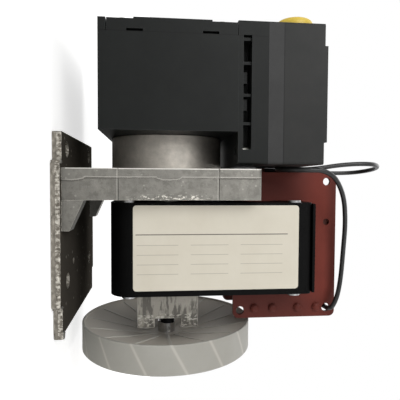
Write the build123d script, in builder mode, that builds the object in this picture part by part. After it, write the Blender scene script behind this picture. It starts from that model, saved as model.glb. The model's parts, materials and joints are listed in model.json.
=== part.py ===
from build123d import *
import math
import os

os.makedirs("parts", exist_ok=True)

# A diaphragm pump driven by a shaded-pole C-frame motor, standing on its foot.
# +Z points up, the shaft lies along X with the fan at +X, and the origin is the
# centre of the four foot holes on the underside.  All sizes are in millimetres.

# ---------------------------------------------------------------- driving sizes
# General fits
fit = 0.05            # radial clearance between pieces that are pushed together
run_fit = 0.04        # radial clearance of a running shaft
seat_gap = 0.2        # gap between a soft piece and what it lies on

# Foot and upright, one casting
hole_pitch_x = 62.0
hole_pitch_y = 66.0
mount_hole_d = 7.5
plate_t = 4.0
plate_w = 99.0
plate_back = 38.2
plate_front = 53.0
wide_back = 24.2
wide_front = 39.9
plate_step = 3.9
shaft_z = 51.4
upright_back = 22.1
upright_t = 14.4
upright_w = 93.2
upright_h = 94.2
upright_corner_r = 2.5
web_t = 4.3
rim_t = 6.0
waist_h = 45.6
waist_step = 0.6
parting_step = 0.35
gusset_t = 10.0
gusset_run = 13.7
gusset_low = 3.4
gusset_high = 9.6
centre_boss_r = 16.0
earth_hole_d = 3.2

# Turned spigot that carries the crankcase
spigot_r = 29.7
spigot_len = 17.1
register_r = 17.0
register_len = 3.6
bearing_r = 11.0
bearing_len = 7.0
frame_screw_pcd = 46.0
frame_screw_d = 4.0

# Crankcase and its cover
housing_len = 43.5
housing_w = 91.2
housing_below = 31.6
housing_above = 31.5
end_wall = 5.6
crank_bore_r = 24.5
rod_offset = 17.9
cover_t = 5.5
cover_panel_t = 0.7
cover_gap = 0.4
ear_t = 3.4
ear_rise = 5.7
notch_w = 7.4
notch_h = 1.2
notch_depth = 3.0
cover_screw_d = 3.5

# Deck, intermediate plate and head
head_len = 65.4
head_inset = 0.6        # how far the deck's sides stand back from the crankcase's
deck_h = 14.2
plate_mid_t = 7.2
head_h = 19.4
pad_t = 1.4
pad_len = 44.5
head_corner_r = 1.2
slot_h = 3.9
slot_len = 52.0
slot_depth = 8.6
slot_rise = 2.3
slot_rib_t = 1.3
head_screw_x = 52.0
head_screw_y = 74.0
head_screw_d = 4.0
port_y = 31.0
port_d = 8.6
port_drop = 1.0         # the ports sit a little below the head's middle
port_wall = 9.0
chamber_wall = 5.0
cap_r = 9.0
cap_h = 4.8
cap_stem_len = 7.0
cap_gap = 0.3

# Crank, rod and diaphragm
eccentricity = 2.5
journal_r = 8.5
journal_len = 9.0
counterweight_r = 20.0
counterweight_t = 5.6
rod_bearing_r = 15.0
rod_bearing_len = 7.0
rod_eye_wall = 4.0
rod_t = 9.0
rod_head_r = 14.0
rod_head_t = 4.0
rod_web_w = 13.0
diaphragm_r = 31.0
diaphragm_t = 2.0
flex_r = 25.0
chamber_depth = 3.0
disc_r = 16.0
disc_t = 2.0
top_clearance = 0.5
clamp_screw_d = 4.0

# Valves and seal
reed_w = 8.0
reed_len = 20.0
reed_t = 0.3
reed_pocket = 1.5
reed_y = 10.0
valve_hole_d = 5.0
seal_w = 2.0
seal_t = 1.5

# Motor
stator_gap = 1.5
stack_len = 44.7
stack_w = 75.2
stack_below = 27.8
stack_above = 70.5
stack_low_r = 10.5
stack_high_r = 3.5
limb_h = 16.8
window_w = 37.4
window_h = 26.7
rotor_r = 16.7
air_gap = 0.3
bridge_t = 1.6
pole_slot_w = 5.0
end_ring_r = 14.5
end_ring_t = 3.0
shaft_r = 4.0
shaft_fan_r = 3.0
rivet_d = 4.0
rivet_head_d = 6.5
rivet_head_t = 1.0
shade_bar = 2.0
shade_over = 1.6

# Coil
flange_t = 2.0
flange_over_back = 15.1
flange_over_front = 17.2
flange_over_z = 19.2
flange_r = 3.0
tube_wall = 1.5
limb_gap = 0.3
coil_under_flange = 1.9
coil_gap = 1.5        # room left round the coil where it dips into the upright
boss_d = 4.6
tie_hole_d = 4.0
flange_hole_edge = 4.7  # from a flange's edge to the middle of its holes and bosses
wind_corner_r = 14.0
boss_h = 1.0
lead_d = 2.4
lead_hole_d = 4.5

# Label plate
label_len = 79.8
label_w = 40.6
label_t = 0.3
label_r = 1.6
label_back = 0.8        # how far the plate sits from the stack's middle, along X and up
label_rise = 1.9

# Fan-side bracket and fan
leg_outer_y = 27.6
leg_t = 8.0
bracket_w = 30.0
leg_len = 13.5
horn_len = 4.5
horn_gap = 13.0
bridge_wall = 5.0
bush_r = 7.0
bush_len = 9.0
stator_screw_y = 23.6
stator_screw_d = 4.0
screw_head_h = 2.8
fan_gap = 2.5
fan_r = 45.8
fan_w = 14.5
fan_wall = 1.6
fan_hub_r = 9.0
fan_hub_t = 4.0
blade_count = 15
blade_t = 1.2
blade_lean = 28.0
clamp_r = 4.75
clamp_wall = 0.6
clamp_len = 8.0

# ---------------------------------------------------------------- derived places
head_w = housing_w - 2 * head_inset
upright_x0 = -upright_back
upright_x1 = upright_x0 + upright_t
spigot_x0 = upright_x0 - spigot_len
wall_x = spigot_x0 - end_wall
rod_x = spigot_x0 - rod_offset
housing_x0 = spigot_x0 - housing_len
housing_z0 = shaft_z - housing_below
deck_z0 = shaft_z + housing_above
deck_z1 = deck_z0 + deck_h
head_z0 = deck_z1 + plate_mid_t
head_z1 = head_z0 + head_h
head_x0 = rod_x - head_len / 2
port_z = head_z0 + head_h / 2 - port_drop
crank_pin_z = shaft_z - eccentricity
centre_dish = 2 * eccentricity + disc_t + top_clearance - chamber_depth
membrane_top = deck_z1 - centre_dish
stator_x0 = upright_x1 + stator_gap
stator_x1 = stator_x0 + stack_len
stack_z0 = shaft_z - stack_below
stack_z1 = shaft_z + stack_above
limb_z0 = stack_z1 - limb_h
limb_mid_z = stack_z1 - limb_h / 2
flange_z0 = limb_z0 - flange_over_z
flange_z1 = stack_z1 + flange_over_z
window_z0 = limb_z0 - window_h
flange_x0 = stator_x0 - flange_over_back
flange_x1 = stator_x1 + flange_over_front
flange_y = window_w / 2 - 0.1
bore_r = rotor_r + air_gap
leg_x1 = stator_x1 + leg_len
horn_x1 = leg_x1 + horn_len
fan_x0 = horn_x1 + fan_gap
fan_x1 = fan_x0 + fan_w
hub_x0 = fan_x1 - fan_hub_t
stator_screws = [(-stator_screw_y, shaft_z), (stator_screw_y, shaft_z)]

# ---------------------------------------------------------------- foot bracket
# Die-cast foot: plate, upright with a rim round its motor side, two gussets.
with BuildPart() as foot_bracket:
    with BuildSketch(Plane.XY):
        with Locations(((plate_front - plate_back) / 2, 0)):
            Rectangle(plate_front + plate_back, plate_w - 2 * plate_step)
        with Locations(((wide_front - wide_back) / 2, 0)):
            Rectangle(wide_front + wide_back, plate_w)
    extrude(amount=plate_t)
    fillet(foot_bracket.edges().filter_by(Axis.Z), radius=0.25 * plate_t)
    with BuildSketch(Plane.YZ.offset(upright_x0)):
        with Locations((0, upright_h / 2)):
            Rectangle(upright_w, upright_h)
    extrude(amount=upright_t)
    fillet(foot_bracket.edges().filter_by(Axis.X).group_by(Axis.Z)[-1], radius=upright_corner_r)
    # The coil dips into a notch between the upright's two arms.
    notch_z0 = flange_z0 - coil_gap
    with BuildSketch(Plane.YZ.offset(upright_x0)):
        with Locations((0, (notch_z0 + upright_h) / 2)):
            Rectangle(2 * (flange_y + coil_gap), upright_h - notch_z0)
    extrude(amount=upright_t, mode=Mode.SUBTRACT)
    # The pocket behind the web leaves a rim, and opens towards the motor.
    pocket_z0 = plate_t + gusset_high
    pocket_z1 = notch_z0 - rim_t
    with BuildSketch(Plane.YZ.offset(upright_x0 + web_t)) as pocket:
        with Locations((0, (pocket_z0 + pocket_z1) / 2)):
            RectangleRounded(upright_w - 2 * rim_t, pocket_z1 - pocket_z0, rim_t / 2)
    extrude(amount=upright_t - web_t, mode=Mode.SUBTRACT)
    # Bosses that meet the stator stack.
    with BuildSketch(Plane.YZ.offset(upright_x0 + web_t)):
        with Locations((0, shaft_z)):
            Circle(centre_boss_r)
        with Locations(stator_screws):
            Circle(1.5 * stator_screw_d)
    extrude(amount=upright_t - web_t + stator_gap)
    # Waist on both sides at shaft height, and the step of the parting line.
    for side in (-1, 1):
        with BuildSketch(Plane.XZ.offset(side * upright_w / 2)):
            with Locations((upright_x0 + upright_t / 2, shaft_z)):
                Rectangle(upright_t, waist_h)
        extrude(amount=-side * waist_step, mode=Mode.SUBTRACT)
        with BuildSketch(Plane.XZ.offset(side * upright_w / 2)):
            with Locations((upright_x0 + (web_t + upright_t) / 2, (plate_t + upright_h) / 2)):
                Rectangle(upright_t - web_t, upright_h - plate_t)
            with Locations((upright_x0 + web_t, plate_t + web_t), (upright_x0 + web_t, shaft_z)):
                Ellipse(0.3 * web_t, 1.3 * web_t, mode=Mode.SUBTRACT)
        extrude(amount=-side * (waist_step + parting_step), mode=Mode.SUBTRACT)
    for gusset_y in (upright_w / 2, gusset_t - upright_w / 2):
        with BuildSketch(Plane.XZ.offset(gusset_y)):
            with BuildLine():
                Polyline(
                    (upright_x1, 0),
                    (upright_x1 + gusset_run, 0),
                    (upright_x1 + gusset_run, plate_t + gusset_low),
                    (upright_x1, plate_t + gusset_high),
                    close=True,
                )
            make_face()
        extrude(amount=-gusset_t)
    with BuildSketch(Plane.XY):
        with GridLocations(hole_pitch_x, hole_pitch_y, 2, 2):
            Circle(mount_hole_d / 2)
        with Locations((0.6 * wide_front, -0.28 * hole_pitch_y)):
            Circle(earth_hole_d / 2)
    extrude(amount=plate_t, mode=Mode.SUBTRACT)
    with BuildSketch(Plane.YZ.offset(upright_x0)):
        with Locations((0, shaft_z)):
            Circle(1.5 * shaft_r)
            with PolarLocations(frame_screw_pcd / 2, 4, start_angle=45):
                Circle(frame_screw_d / 2 + fit)
        with Locations(stator_screws):
            Circle(stator_screw_d / 2 + fit)
    extrude(amount=upright_t + stator_gap, mode=Mode.SUBTRACT)
foot_bracket.part.label = "foot_bracket"
export_step(foot_bracket.part, "parts/foot_bracket.step")

# ---------------------------------------------------------------- spigot
# Turned aluminium neck with the pump-side bearing seat and a register.
with BuildPart() as spigot:
    with BuildSketch(Plane.YZ.offset(spigot_x0)):
        with Locations((0, shaft_z)):
            Circle(spigot_r)
    extrude(amount=spigot_len)
    with BuildSketch(Plane.YZ.offset(spigot_x0)):
        with Locations((0, shaft_z)):
            Circle(register_r)
    extrude(amount=-register_len)
    chamfer(spigot.edges().filter_by(GeomType.CIRCLE).sort_by(SortBy.RADIUS)[-2:], length=0.4)
    with BuildSketch(Plane.YZ.offset(spigot_x0 - register_len)):
        with Locations((0, shaft_z)):
            Circle(bearing_r + fit)
    extrude(amount=bearing_len, mode=Mode.SUBTRACT)
    with BuildSketch(Plane.YZ.offset(spigot_x0 - register_len)):
        with Locations((0, shaft_z)):
            Circle(1.5 * shaft_r)
    extrude(amount=spigot_len + register_len, mode=Mode.SUBTRACT)
    with BuildSketch(Plane.YZ.offset(spigot_x0)):
        with Locations((0, shaft_z)):
            with PolarLocations(frame_screw_pcd / 2, 4, start_angle=45):
                Circle(frame_screw_d / 2 + fit)
    extrude(amount=spigot_len, mode=Mode.SUBTRACT)
spigot.part.label = "spigot"
export_step(spigot.part, "parts/spigot.step")

# ---------------------------------------------------------------- shaft bearings
with BuildPart() as pump_side_bearing:
    with BuildSketch(Plane.YZ.offset(spigot_x0 - register_len)):
        with Locations((0, shaft_z)):
            Circle(bearing_r)
            Circle(shaft_r + run_fit, mode=Mode.SUBTRACT)
    extrude(amount=bearing_len)
    # Recessed shield between the two races, on the open side.
    with BuildSketch(Plane.YZ.offset(spigot_x0 - register_len)):
        with Locations((0, shaft_z)):
            Circle(0.8 * bearing_r)
            Circle(0.4 * bearing_r + 0.3 * shaft_r, mode=Mode.SUBTRACT)
    extrude(amount=0.07 * bearing_len, mode=Mode.SUBTRACT)
pump_side_bearing.part.label = "pump_side_bearing"
export_step(pump_side_bearing.part, "parts/pump_side_bearing.step")

with BuildPart() as fan_side_bush:
    with BuildSketch(Plane.YZ.offset(leg_x1 - bush_len)):
        with Locations((0, shaft_z)):
            Circle(bush_r)
            Circle(shaft_fan_r + run_fit, mode=Mode.SUBTRACT)
    extrude(amount=bush_len)
    chamfer(fan_side_bush.edges().filter_by(GeomType.CIRCLE).sort_by(SortBy.RADIUS)[-2:], length=0.6)
fan_side_bush.part.label = "fan_side_bush"
export_step(fan_side_bush.part, "parts/fan_side_bush.step")

# ---------------------------------------------------------------- crankcase housing
# One moulding: the crank chamber, its ear beside the cover, and the slotted deck.
deck_passage_r = flex_r
rod_passage_r = rod_web_w / 2 + eccentricity + 2.6
slot_z = deck_z0 + slot_rise + slot_h / 2
with BuildPart() as crankcase_housing:
    with BuildSketch(Plane.YZ.offset(spigot_x0)):
        with Locations((0, (housing_z0 + deck_z0) / 2)):
            Rectangle(housing_w, deck_z0 - housing_z0)
    extrude(amount=-housing_len)
    with BuildSketch(Plane.YZ.offset(housing_x0)):
        with Locations((0, housing_z0 + ear_t / 2)):
            Rectangle(housing_w, ear_t)
    extrude(amount=-ear_rise)
    with BuildSketch(Plane.XY.offset(deck_z0)):
        with Locations((rod_x, 0)):
            RectangleRounded(head_len, head_w, head_corner_r)
    extrude(amount=deck_h)
    # Slots along both long sides, with cross ribs standing back from the face.
    for side in (-1, 1):
        with BuildSketch(Plane.XZ.offset(side * head_w / 2)):
            with Locations((rod_x, slot_z)):
                Rectangle(slot_len, slot_h)
        extrude(amount=-side * slot_depth, mode=Mode.SUBTRACT)
        with BuildSketch(Plane.XZ.offset(side * (head_w / 2 - slot_depth))):
            for share in (-0.47, -0.26, 0.02, 0.27):
                with Locations((rod_x + share * slot_len, slot_z)):
                    Rectangle(slot_rib_t, slot_h)
        extrude(amount=side * (slot_depth - slot_rib_t))
        with BuildSketch(Plane.XZ.offset(side * (head_w / 2 - slot_depth))):
            for share in (-0.14, 0.1):
                with Locations((rod_x + share * slot_len, slot_z - 0.2 * slot_h)):
                    Rectangle(0.1 * slot_len, 0.6 * slot_h)
        extrude(amount=side * 0.6 * slot_depth)
    # Crank chamber, rod passage and the space below the diaphragm.
    with BuildSketch(Plane.YZ.offset(wall_x)):
        with Locations((0, shaft_z)):
            Circle(crank_bore_r)
    extrude(amount=housing_x0 - wall_x, mode=Mode.SUBTRACT)
    with BuildSketch(Plane.XY.offset(shaft_z)):
        with Locations((rod_x, 0)):
            Circle(rod_passage_r)
    extrude(amount=deck_z1 - shaft_z, mode=Mode.SUBTRACT)
    deck_floor_z = membrane_top - diaphragm_t - seat_gap - rod_head_t - top_clearance
    with BuildSketch(Plane.XY.offset(deck_floor_z)):
        with Locations((rod_x, 0)):
            Circle(deck_passage_r)
    extrude(amount=deck_z1 - deck_floor_z, mode=Mode.SUBTRACT)
    with BuildSketch(Plane.XY.offset(deck_z1 - diaphragm_t)):
        with Locations((rod_x, 0)):
            Circle(diaphragm_r + fit)
    extrude(amount=diaphragm_t, mode=Mode.SUBTRACT)
    # Register hole for the spigot, screw holes.
    with BuildSketch(Plane.YZ.offset(spigot_x0)):
        with Locations((0, shaft_z)):
            Circle(register_r + fit)
            with PolarLocations(frame_screw_pcd / 2, 4, start_angle=45):
                Circle(frame_screw_d / 2 + fit)
    extrude(amount=-end_wall, mode=Mode.SUBTRACT)
    with BuildSketch(Plane.XY.offset(deck_z0)):
        with Locations((rod_x, 0)):
            with GridLocations(head_screw_x, head_screw_y, 2, 2):
                Circle(head_screw_d / 2 + fit)
    extrude(amount=deck_h, mode=Mode.SUBTRACT)
    cover_mid_z = (housing_z0 + ear_t + deck_z0) / 2
    cover_grid_y = housing_w - 4 * cover_screw_d
    cover_grid_z = deck_z0 - housing_z0 - ear_t - 4 * cover_screw_d
    with BuildSketch(Plane.YZ.offset(housing_x0)):
        with Locations((0, cover_mid_z)):
            with GridLocations(cover_grid_y, cover_grid_z, 2, 2):
                Circle(cover_screw_d / 2 + fit)
    extrude(amount=3 * cover_screw_d, mode=Mode.SUBTRACT)
crankcase_housing.part.label = "crankcase_housing"
export_step(crankcase_housing.part, "parts/crankcase_housing.step")

# ---------------------------------------------------------------- crankcase cover
cover_h = deck_z0 - housing_z0 - ear_t - 2 * cover_gap
with BuildPart() as crankcase_cover:
    with BuildSketch(Plane.YZ.offset(housing_x0)):
        with Locations((0, cover_mid_z)):
            Rectangle(housing_w, cover_h)
    extrude(amount=-cover_t)
    with BuildSketch(Plane.YZ.offset(housing_x0 - cover_t)):
        with Locations((0, cover_mid_z)):
            Rectangle(housing_w, 0.6 * cover_h)
    extrude(amount=-cover_panel_t)
    # Shallow dish inside, so the cover is a shell over the crank.
    with BuildSketch(Plane.YZ.offset(housing_x0)):
        with Locations((0, shaft_z)):
            Circle(crank_bore_r)
    extrude(amount=-0.5 * cover_t, mode=Mode.SUBTRACT)
    # Prying notches at the seam.
    for side in (-1, 1):
        with BuildSketch(Plane.XZ.offset(side * housing_w / 2)):
            with Locations((housing_x0 - notch_h / 2, cover_mid_z)):
                with GridLocations(notch_h, 0.58 * cover_h, 1, 2):
                    Rectangle(notch_h, notch_w)
        extrude(amount=-side * notch_depth, mode=Mode.SUBTRACT)
    with BuildSketch(Plane.YZ.offset(housing_x0)):
        with Locations((0, cover_mid_z)):
            with GridLocations(cover_grid_y, cover_grid_z, 2, 2):
                Circle(cover_screw_d / 2 + fit)
    extrude(amount=-cover_t, mode=Mode.SUBTRACT)
crankcase_cover.part.label = "crankcase_cover"
export_step(crankcase_cover.part, "parts/crankcase_cover.step")

# ---------------------------------------------------------------- intermediate plate
# Valve plate: the pump chamber below, the outlet reed's pocket and the seal above.
inlet_y = -reed_y
outlet_y = reed_y
chamber_top = deck_z1 + chamber_depth
reed_root = rod_x - reed_len / 2
seal_outer_x = head_len - 3 * head_screw_d
seal_outer_y = head_screw_y - 2.6 * head_screw_d
with BuildPart() as intermediate_plate:
    with BuildSketch(Plane.XY.offset(deck_z1)):
        with Locations((rod_x, 0)):
            RectangleRounded(head_len, head_w, head_corner_r)
    extrude(amount=plate_mid_t)
    with BuildSketch(Plane.XY.offset(deck_z1)):
        with Locations((rod_x, 0)):
            Circle(flex_r)
    extrude(amount=chamber_depth, mode=Mode.SUBTRACT)
    with BuildSketch(Plane.XY.offset(chamber_top)):
        with Locations((rod_x, inlet_y)):
            Rectangle(reed_len + 2 * seat_gap, reed_w + 2 * seat_gap)
    extrude(amount=reed_pocket, mode=Mode.SUBTRACT)
    with BuildSketch(Plane.XY.offset(head_z0)):
        with Locations((rod_x, outlet_y)):
            Rectangle(reed_len + 2 * seat_gap, reed_w + 2 * seat_gap)
    extrude(amount=-reed_pocket, mode=Mode.SUBTRACT)
    with BuildSketch(Plane.XY.offset(deck_z1)):
        with Locations((rod_x + reed_len / 4, inlet_y), (rod_x + reed_len / 4, outlet_y)):
            Circle(valve_hole_d / 2)
        with Locations((rod_x, 0)):
            with GridLocations(head_screw_x, head_screw_y, 2, 2):
                Circle(head_screw_d / 2 + fit)
    extrude(amount=plate_mid_t, mode=Mode.SUBTRACT)
    with BuildSketch(Plane.XY.offset(head_z0)):
        with Locations((rod_x, 0)):
            RectangleRounded(seal_outer_x, seal_outer_y, 2 * seal_w)
            RectangleRounded(seal_outer_x - 2 * seal_w, seal_outer_y - 2 * seal_w, seal_w, mode=Mode.SUBTRACT)
            Rectangle(seal_outer_x - seal_w, seal_w)
    extrude(amount=-seal_t, mode=Mode.SUBTRACT)
intermediate_plate.part.label = "intermediate_plate"
export_step(intermediate_plate.part, "parts/intermediate_plate.step")

# Moulded seal that parts the inlet side from the outlet side.
with BuildPart() as head_seal:
    with BuildSketch(Plane.XY.offset(head_z0)):
        with Locations((rod_x, 0)):
            RectangleRounded(seal_outer_x - 2 * fit, seal_outer_y - 2 * fit, 2 * seal_w)
            inner_x = seal_outer_x - 2 * seal_w + 2 * fit
            inner_y = seal_outer_y - 2 * seal_w + 2 * fit
            RectangleRounded(inner_x, inner_y, seal_w, mode=Mode.SUBTRACT)
            Rectangle(seal_outer_x - seal_w, seal_w - 2 * fit)
    extrude(amount=-seal_t)
head_seal.part.label = "head_seal"
export_step(head_seal.part, "parts/head_seal.step")

# ---------------------------------------------------------------- valve reeds
# Spring-steel tongues: the inlet reed lies under the plate, the outlet reed on it.
with BuildPart() as inlet_reed:
    with BuildSketch(Plane.XY.offset(chamber_top + reed_pocket - seat_gap)):
        with Locations((rod_x, inlet_y)):
            RectangleRounded(reed_len, reed_w, 0.3 * reed_w)
    extrude(amount=-reed_t)
inlet_reed.part.label = "inlet_reed"
export_step(inlet_reed.part, "parts/inlet_reed.step")

with BuildPart() as outlet_reed:
    with BuildSketch(Plane.XY.offset(head_z0 - reed_pocket + seat_gap)):
        with Locations((rod_x, outlet_y)):
            RectangleRounded(reed_len, reed_w, 0.3 * reed_w)
    extrude(amount=reed_t)
outlet_reed.part.label = "outlet_reed"
export_step(outlet_reed.part, "parts/outlet_reed.step")

# ---------------------------------------------------------------- head
# Two gas chambers open downwards, each reached by a port in the -X face.
seal_land_x = seal_outer_x - 2 * seal_w
seal_land_y = seal_outer_y - 2 * seal_w
gas_len = seal_land_x - 2 * fit
gas_w = (seal_land_y - seal_w) / 2 - fit
gas_h = head_h - chamber_wall
with BuildPart() as head_cover:
    with BuildSketch(Plane.XY.offset(head_z0)):
        with Locations((rod_x, 0)):
            RectangleRounded(head_len, head_w, head_corner_r)
    extrude(amount=head_h)
    with BuildSketch(Plane.XY.offset(head_z1)):
        with Locations((rod_x, 0)):
            Rectangle(pad_len, head_w)
    extrude(amount=pad_t)
    for side in (-1, 1):
        with BuildSketch(Plane.XY.offset(head_z0)):
            with Locations((rod_x, side * (seal_w + gas_w) / 2)):
                RectangleRounded(gas_len, gas_w, 1.5 * seal_w)
        extrude(amount=gas_h, mode=Mode.SUBTRACT)
    with BuildSketch(Plane.YZ.offset(head_x0)):
        with Locations((-port_y, port_z), (port_y, port_z)):
            Circle(port_d / 2)
    extrude(amount=port_wall + head_screw_d, mode=Mode.SUBTRACT)
    # Cross passage from each port into its chamber.
    for side in (-1, 1):
        with BuildSketch(Plane.XZ.offset(-side * gas_w)):
            with Locations((head_x0 + port_wall, port_z)):
                Circle(0.3 * port_d)
        extrude(amount=-side * (port_y - gas_w), mode=Mode.SUBTRACT)
    with BuildSketch(Plane.XY.offset(head_z0)):
        with Locations((rod_x, 0)):
            with GridLocations(head_screw_x, head_screw_y, 2, 2):
                Circle(head_screw_d / 2 + fit)
    extrude(amount=head_h, mode=Mode.SUBTRACT)
    with BuildSketch(Plane.XY.offset(head_z1)):
        with Locations((rod_x, 0)):
            with GridLocations(head_screw_x, head_screw_y, 2, 2):
                Circle(head_screw_d)
    extrude(amount=-head_screw_d, mode=Mode.SUBTRACT)
head_cover.part.label = "head_cover"
export_step(head_cover.part, "parts/head_cover.step")

# ---------------------------------------------------------------- transit caps
for side, cap_name in ((-1, "inlet_cap"), (1, "outlet_cap")):
    with BuildPart() as transit_cap:
        with BuildSketch(Plane.YZ.offset(head_x0 - cap_gap)):
            with Locations((side * port_y, port_z)):
                Circle(cap_r)
        extrude(amount=-cap_h)
        fillet(transit_cap.faces().sort_by(Axis.X)[0].edges(), radius=0.55 * cap_h)
        with BuildSketch(Plane.YZ.offset(head_x0 - cap_gap)):
            with Locations((side * port_y, port_z)):
                Circle(port_d / 2 - cap_gap)
        extrude(amount=cap_stem_len)
    transit_cap.part.label = cap_name
    export_step(transit_cap.part, f"parts/{cap_name}.step")

# ---------------------------------------------------------------- diaphragm
# Rubber disc, clamped at its rim and drawn down at its centre by the rod.
membrane_low = membrane_top - diaphragm_t
with BuildPart() as diaphragm:
    with BuildSketch(Plane.XZ):
        with BuildLine():
            Polyline(
                (rod_x + 0.6 * clamp_screw_d + fit, membrane_low),
                (rod_x + disc_r, membrane_low),
                (rod_x + flex_r, deck_z1 - diaphragm_t),
                (rod_x + diaphragm_r, deck_z1 - diaphragm_t),
                (rod_x + diaphragm_r, deck_z1),
                (rod_x + flex_r, deck_z1),
                (rod_x + disc_r, membrane_top),
                (rod_x + 0.6 * clamp_screw_d + fit, membrane_top),
                close=True,
            )
        make_face()
    revolve(axis=Axis((rod_x, 0, 0), (0, 0, 1)))
diaphragm.part.label = "diaphragm"
export_step(diaphragm.part, "parts/diaphragm.step")

# ---------------------------------------------------------------- crank drive
rod_head_z = membrane_low - seat_gap
disc_z = membrane_top + seat_gap
rod_eye_r = rod_bearing_r + rod_eye_wall
with BuildPart() as connecting_rod:
    with BuildSketch(Plane.YZ.offset(rod_x - rod_t / 2)):
        with Locations((0, crank_pin_z)):
            Circle(rod_eye_r)
        with Locations((0, (crank_pin_z + rod_head_z) / 2)):
            Rectangle(rod_web_w, rod_head_z - crank_pin_z)
    extrude(amount=rod_t)
    # Flutes on both faces leave an I-section.
    flute_z0 = crank_pin_z + rod_eye_r + 1.5
    flute_z1 = rod_head_z - rod_head_t - 1.5
    for face_x, depth in ((rod_x - rod_t / 2, 1), (rod_x + rod_t / 2, -1)):
        with BuildSketch(Plane.YZ.offset(face_x)):
            with Locations((0, (flute_z0 + flute_z1) / 2)):
                RectangleRounded(0.55 * rod_web_w, flute_z1 - flute_z0, 0.2 * rod_web_w)
        extrude(amount=depth * 0.3 * rod_t, mode=Mode.SUBTRACT)
    with BuildSketch(Plane.XY.offset(rod_head_z)):
        with Locations((rod_x, 0)):
            Circle(rod_head_r)
    extrude(amount=-rod_head_t)
    with BuildSketch(Plane.YZ.offset(rod_x - rod_t / 2)):
        with Locations((0, crank_pin_z)):
            Circle(rod_bearing_r + fit)
    extrude(amount=rod_t, mode=Mode.SUBTRACT)
    with BuildSketch(Plane.XY.offset(rod_head_z)):
        with Locations((rod_x, 0)):
            Circle(clamp_screw_d / 2 + fit)
    extrude(amount=-2.5 * clamp_screw_d, mode=Mode.SUBTRACT)
connecting_rod.part.label = "connecting_rod"
export_step(connecting_rod.part, "parts/connecting_rod.step")

with BuildPart() as clamp_disc:
    with BuildSketch(Plane.XY.offset(disc_z)):
        with Locations((rod_x, 0)):
            Circle(disc_r - 0.5)
    extrude(amount=disc_t - 2 * seat_gap)
    with BuildSketch(Plane.XY.offset(rod_head_z)):
        with Locations((rod_x, 0)):
            Circle(0.6 * clamp_screw_d)
    extrude(amount=disc_z - rod_head_z)
    with BuildSketch(Plane.XY.offset(rod_head_z)):
        with Locations((rod_x, 0)):
            Circle(clamp_screw_d / 2 + fit)
    extrude(amount=disc_z + disc_t - rod_head_z, mode=Mode.SUBTRACT)
clamp_disc.part.label = "clamp_disc"
export_step(clamp_disc.part, "parts/clamp_disc.step")

with BuildPart() as rod_bearing:
    with BuildSketch(Plane.YZ.offset(rod_x - rod_bearing_len / 2)):
        with Locations((0, crank_pin_z)):
            Circle(rod_bearing_r)
            Circle(journal_r + run_fit, mode=Mode.SUBTRACT)
    extrude(amount=rod_bearing_len)
rod_bearing.part.label = "rod_bearing"
export_step(rod_bearing.part, "parts/rod_bearing.step")

# Eccentric journal with its counterweight, which lies opposite the crank pin.
weight_x = rod_x + rod_t / 2 + 0.6
with BuildPart() as eccentric:
    with BuildSketch(Plane.YZ.offset(rod_x - journal_len / 2)):
        with Locations((0, crank_pin_z)):
            Circle(journal_r)
    extrude(amount=weight_x - rod_x + journal_len / 2)
    with BuildSketch(Plane.YZ.offset(weight_x)):
        with Locations((0, shaft_z)):
            Circle(counterweight_r)
            with Locations((0, -counterweight_r)):
                Rectangle(2 * counterweight_r, 2 * counterweight_r, mode=Mode.SUBTRACT)
            Circle(journal_r + eccentricity)
    extrude(amount=counterweight_t)
    with BuildSketch(Plane.YZ.offset(rod_x - journal_len / 2)):
        with Locations((0, shaft_z)):
            Circle(shaft_r + fit)
    extrude(amount=weight_x + counterweight_t - rod_x + journal_len / 2, mode=Mode.SUBTRACT)
eccentric.part.label = "eccentric"
export_step(eccentric.part, "parts/eccentric.step")

# ---------------------------------------------------------------- shaft and rotor
step_x = leg_x1 - bush_len - 1.0
with BuildPart() as motor_shaft:
    with BuildSketch(Plane.YZ.offset(rod_x - journal_len / 2)):
        with Locations((0, shaft_z)):
            Circle(shaft_r)
    extrude(amount=step_x - rod_x + journal_len / 2)
    with BuildSketch(Plane.YZ.offset(step_x)):
        with Locations((0, shaft_z)):
            Circle(shaft_fan_r)
    extrude(amount=fan_x1 - 0.5 - step_x)
    chamfer(motor_shaft.faces().sort_by(Axis.X)[-1].edges(), length=0.15 * shaft_fan_r)
motor_shaft.part.label = "motor_shaft"
export_step(motor_shaft.part, "parts/motor_shaft.step")

with BuildPart() as rotor:
    with BuildSketch(Plane.YZ.offset(stator_x0)):
        with Locations((0, shaft_z)):
            Circle(rotor_r)
    extrude(amount=stack_len)
    with BuildSketch(Plane.YZ.offset(stator_x1)):
        with Locations((0, shaft_z)):
            Circle(end_ring_r)
    extrude(amount=end_ring_t)
    with BuildSketch(Plane.YZ.offset(stator_x1)):
        with Locations((0, shaft_z)):
            Circle(0.7 * end_ring_r)
    extrude(amount=end_ring_t, mode=Mode.SUBTRACT)
    with BuildSketch(Plane.YZ.offset(stator_x0)):
        with Locations((0, shaft_z)):
            Circle(shaft_r + fit)
    extrude(amount=stack_len + end_ring_t, mode=Mode.SUBTRACT)
rotor.part.label = "rotor"
export_step(rotor.part, "parts/rotor.step")

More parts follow.
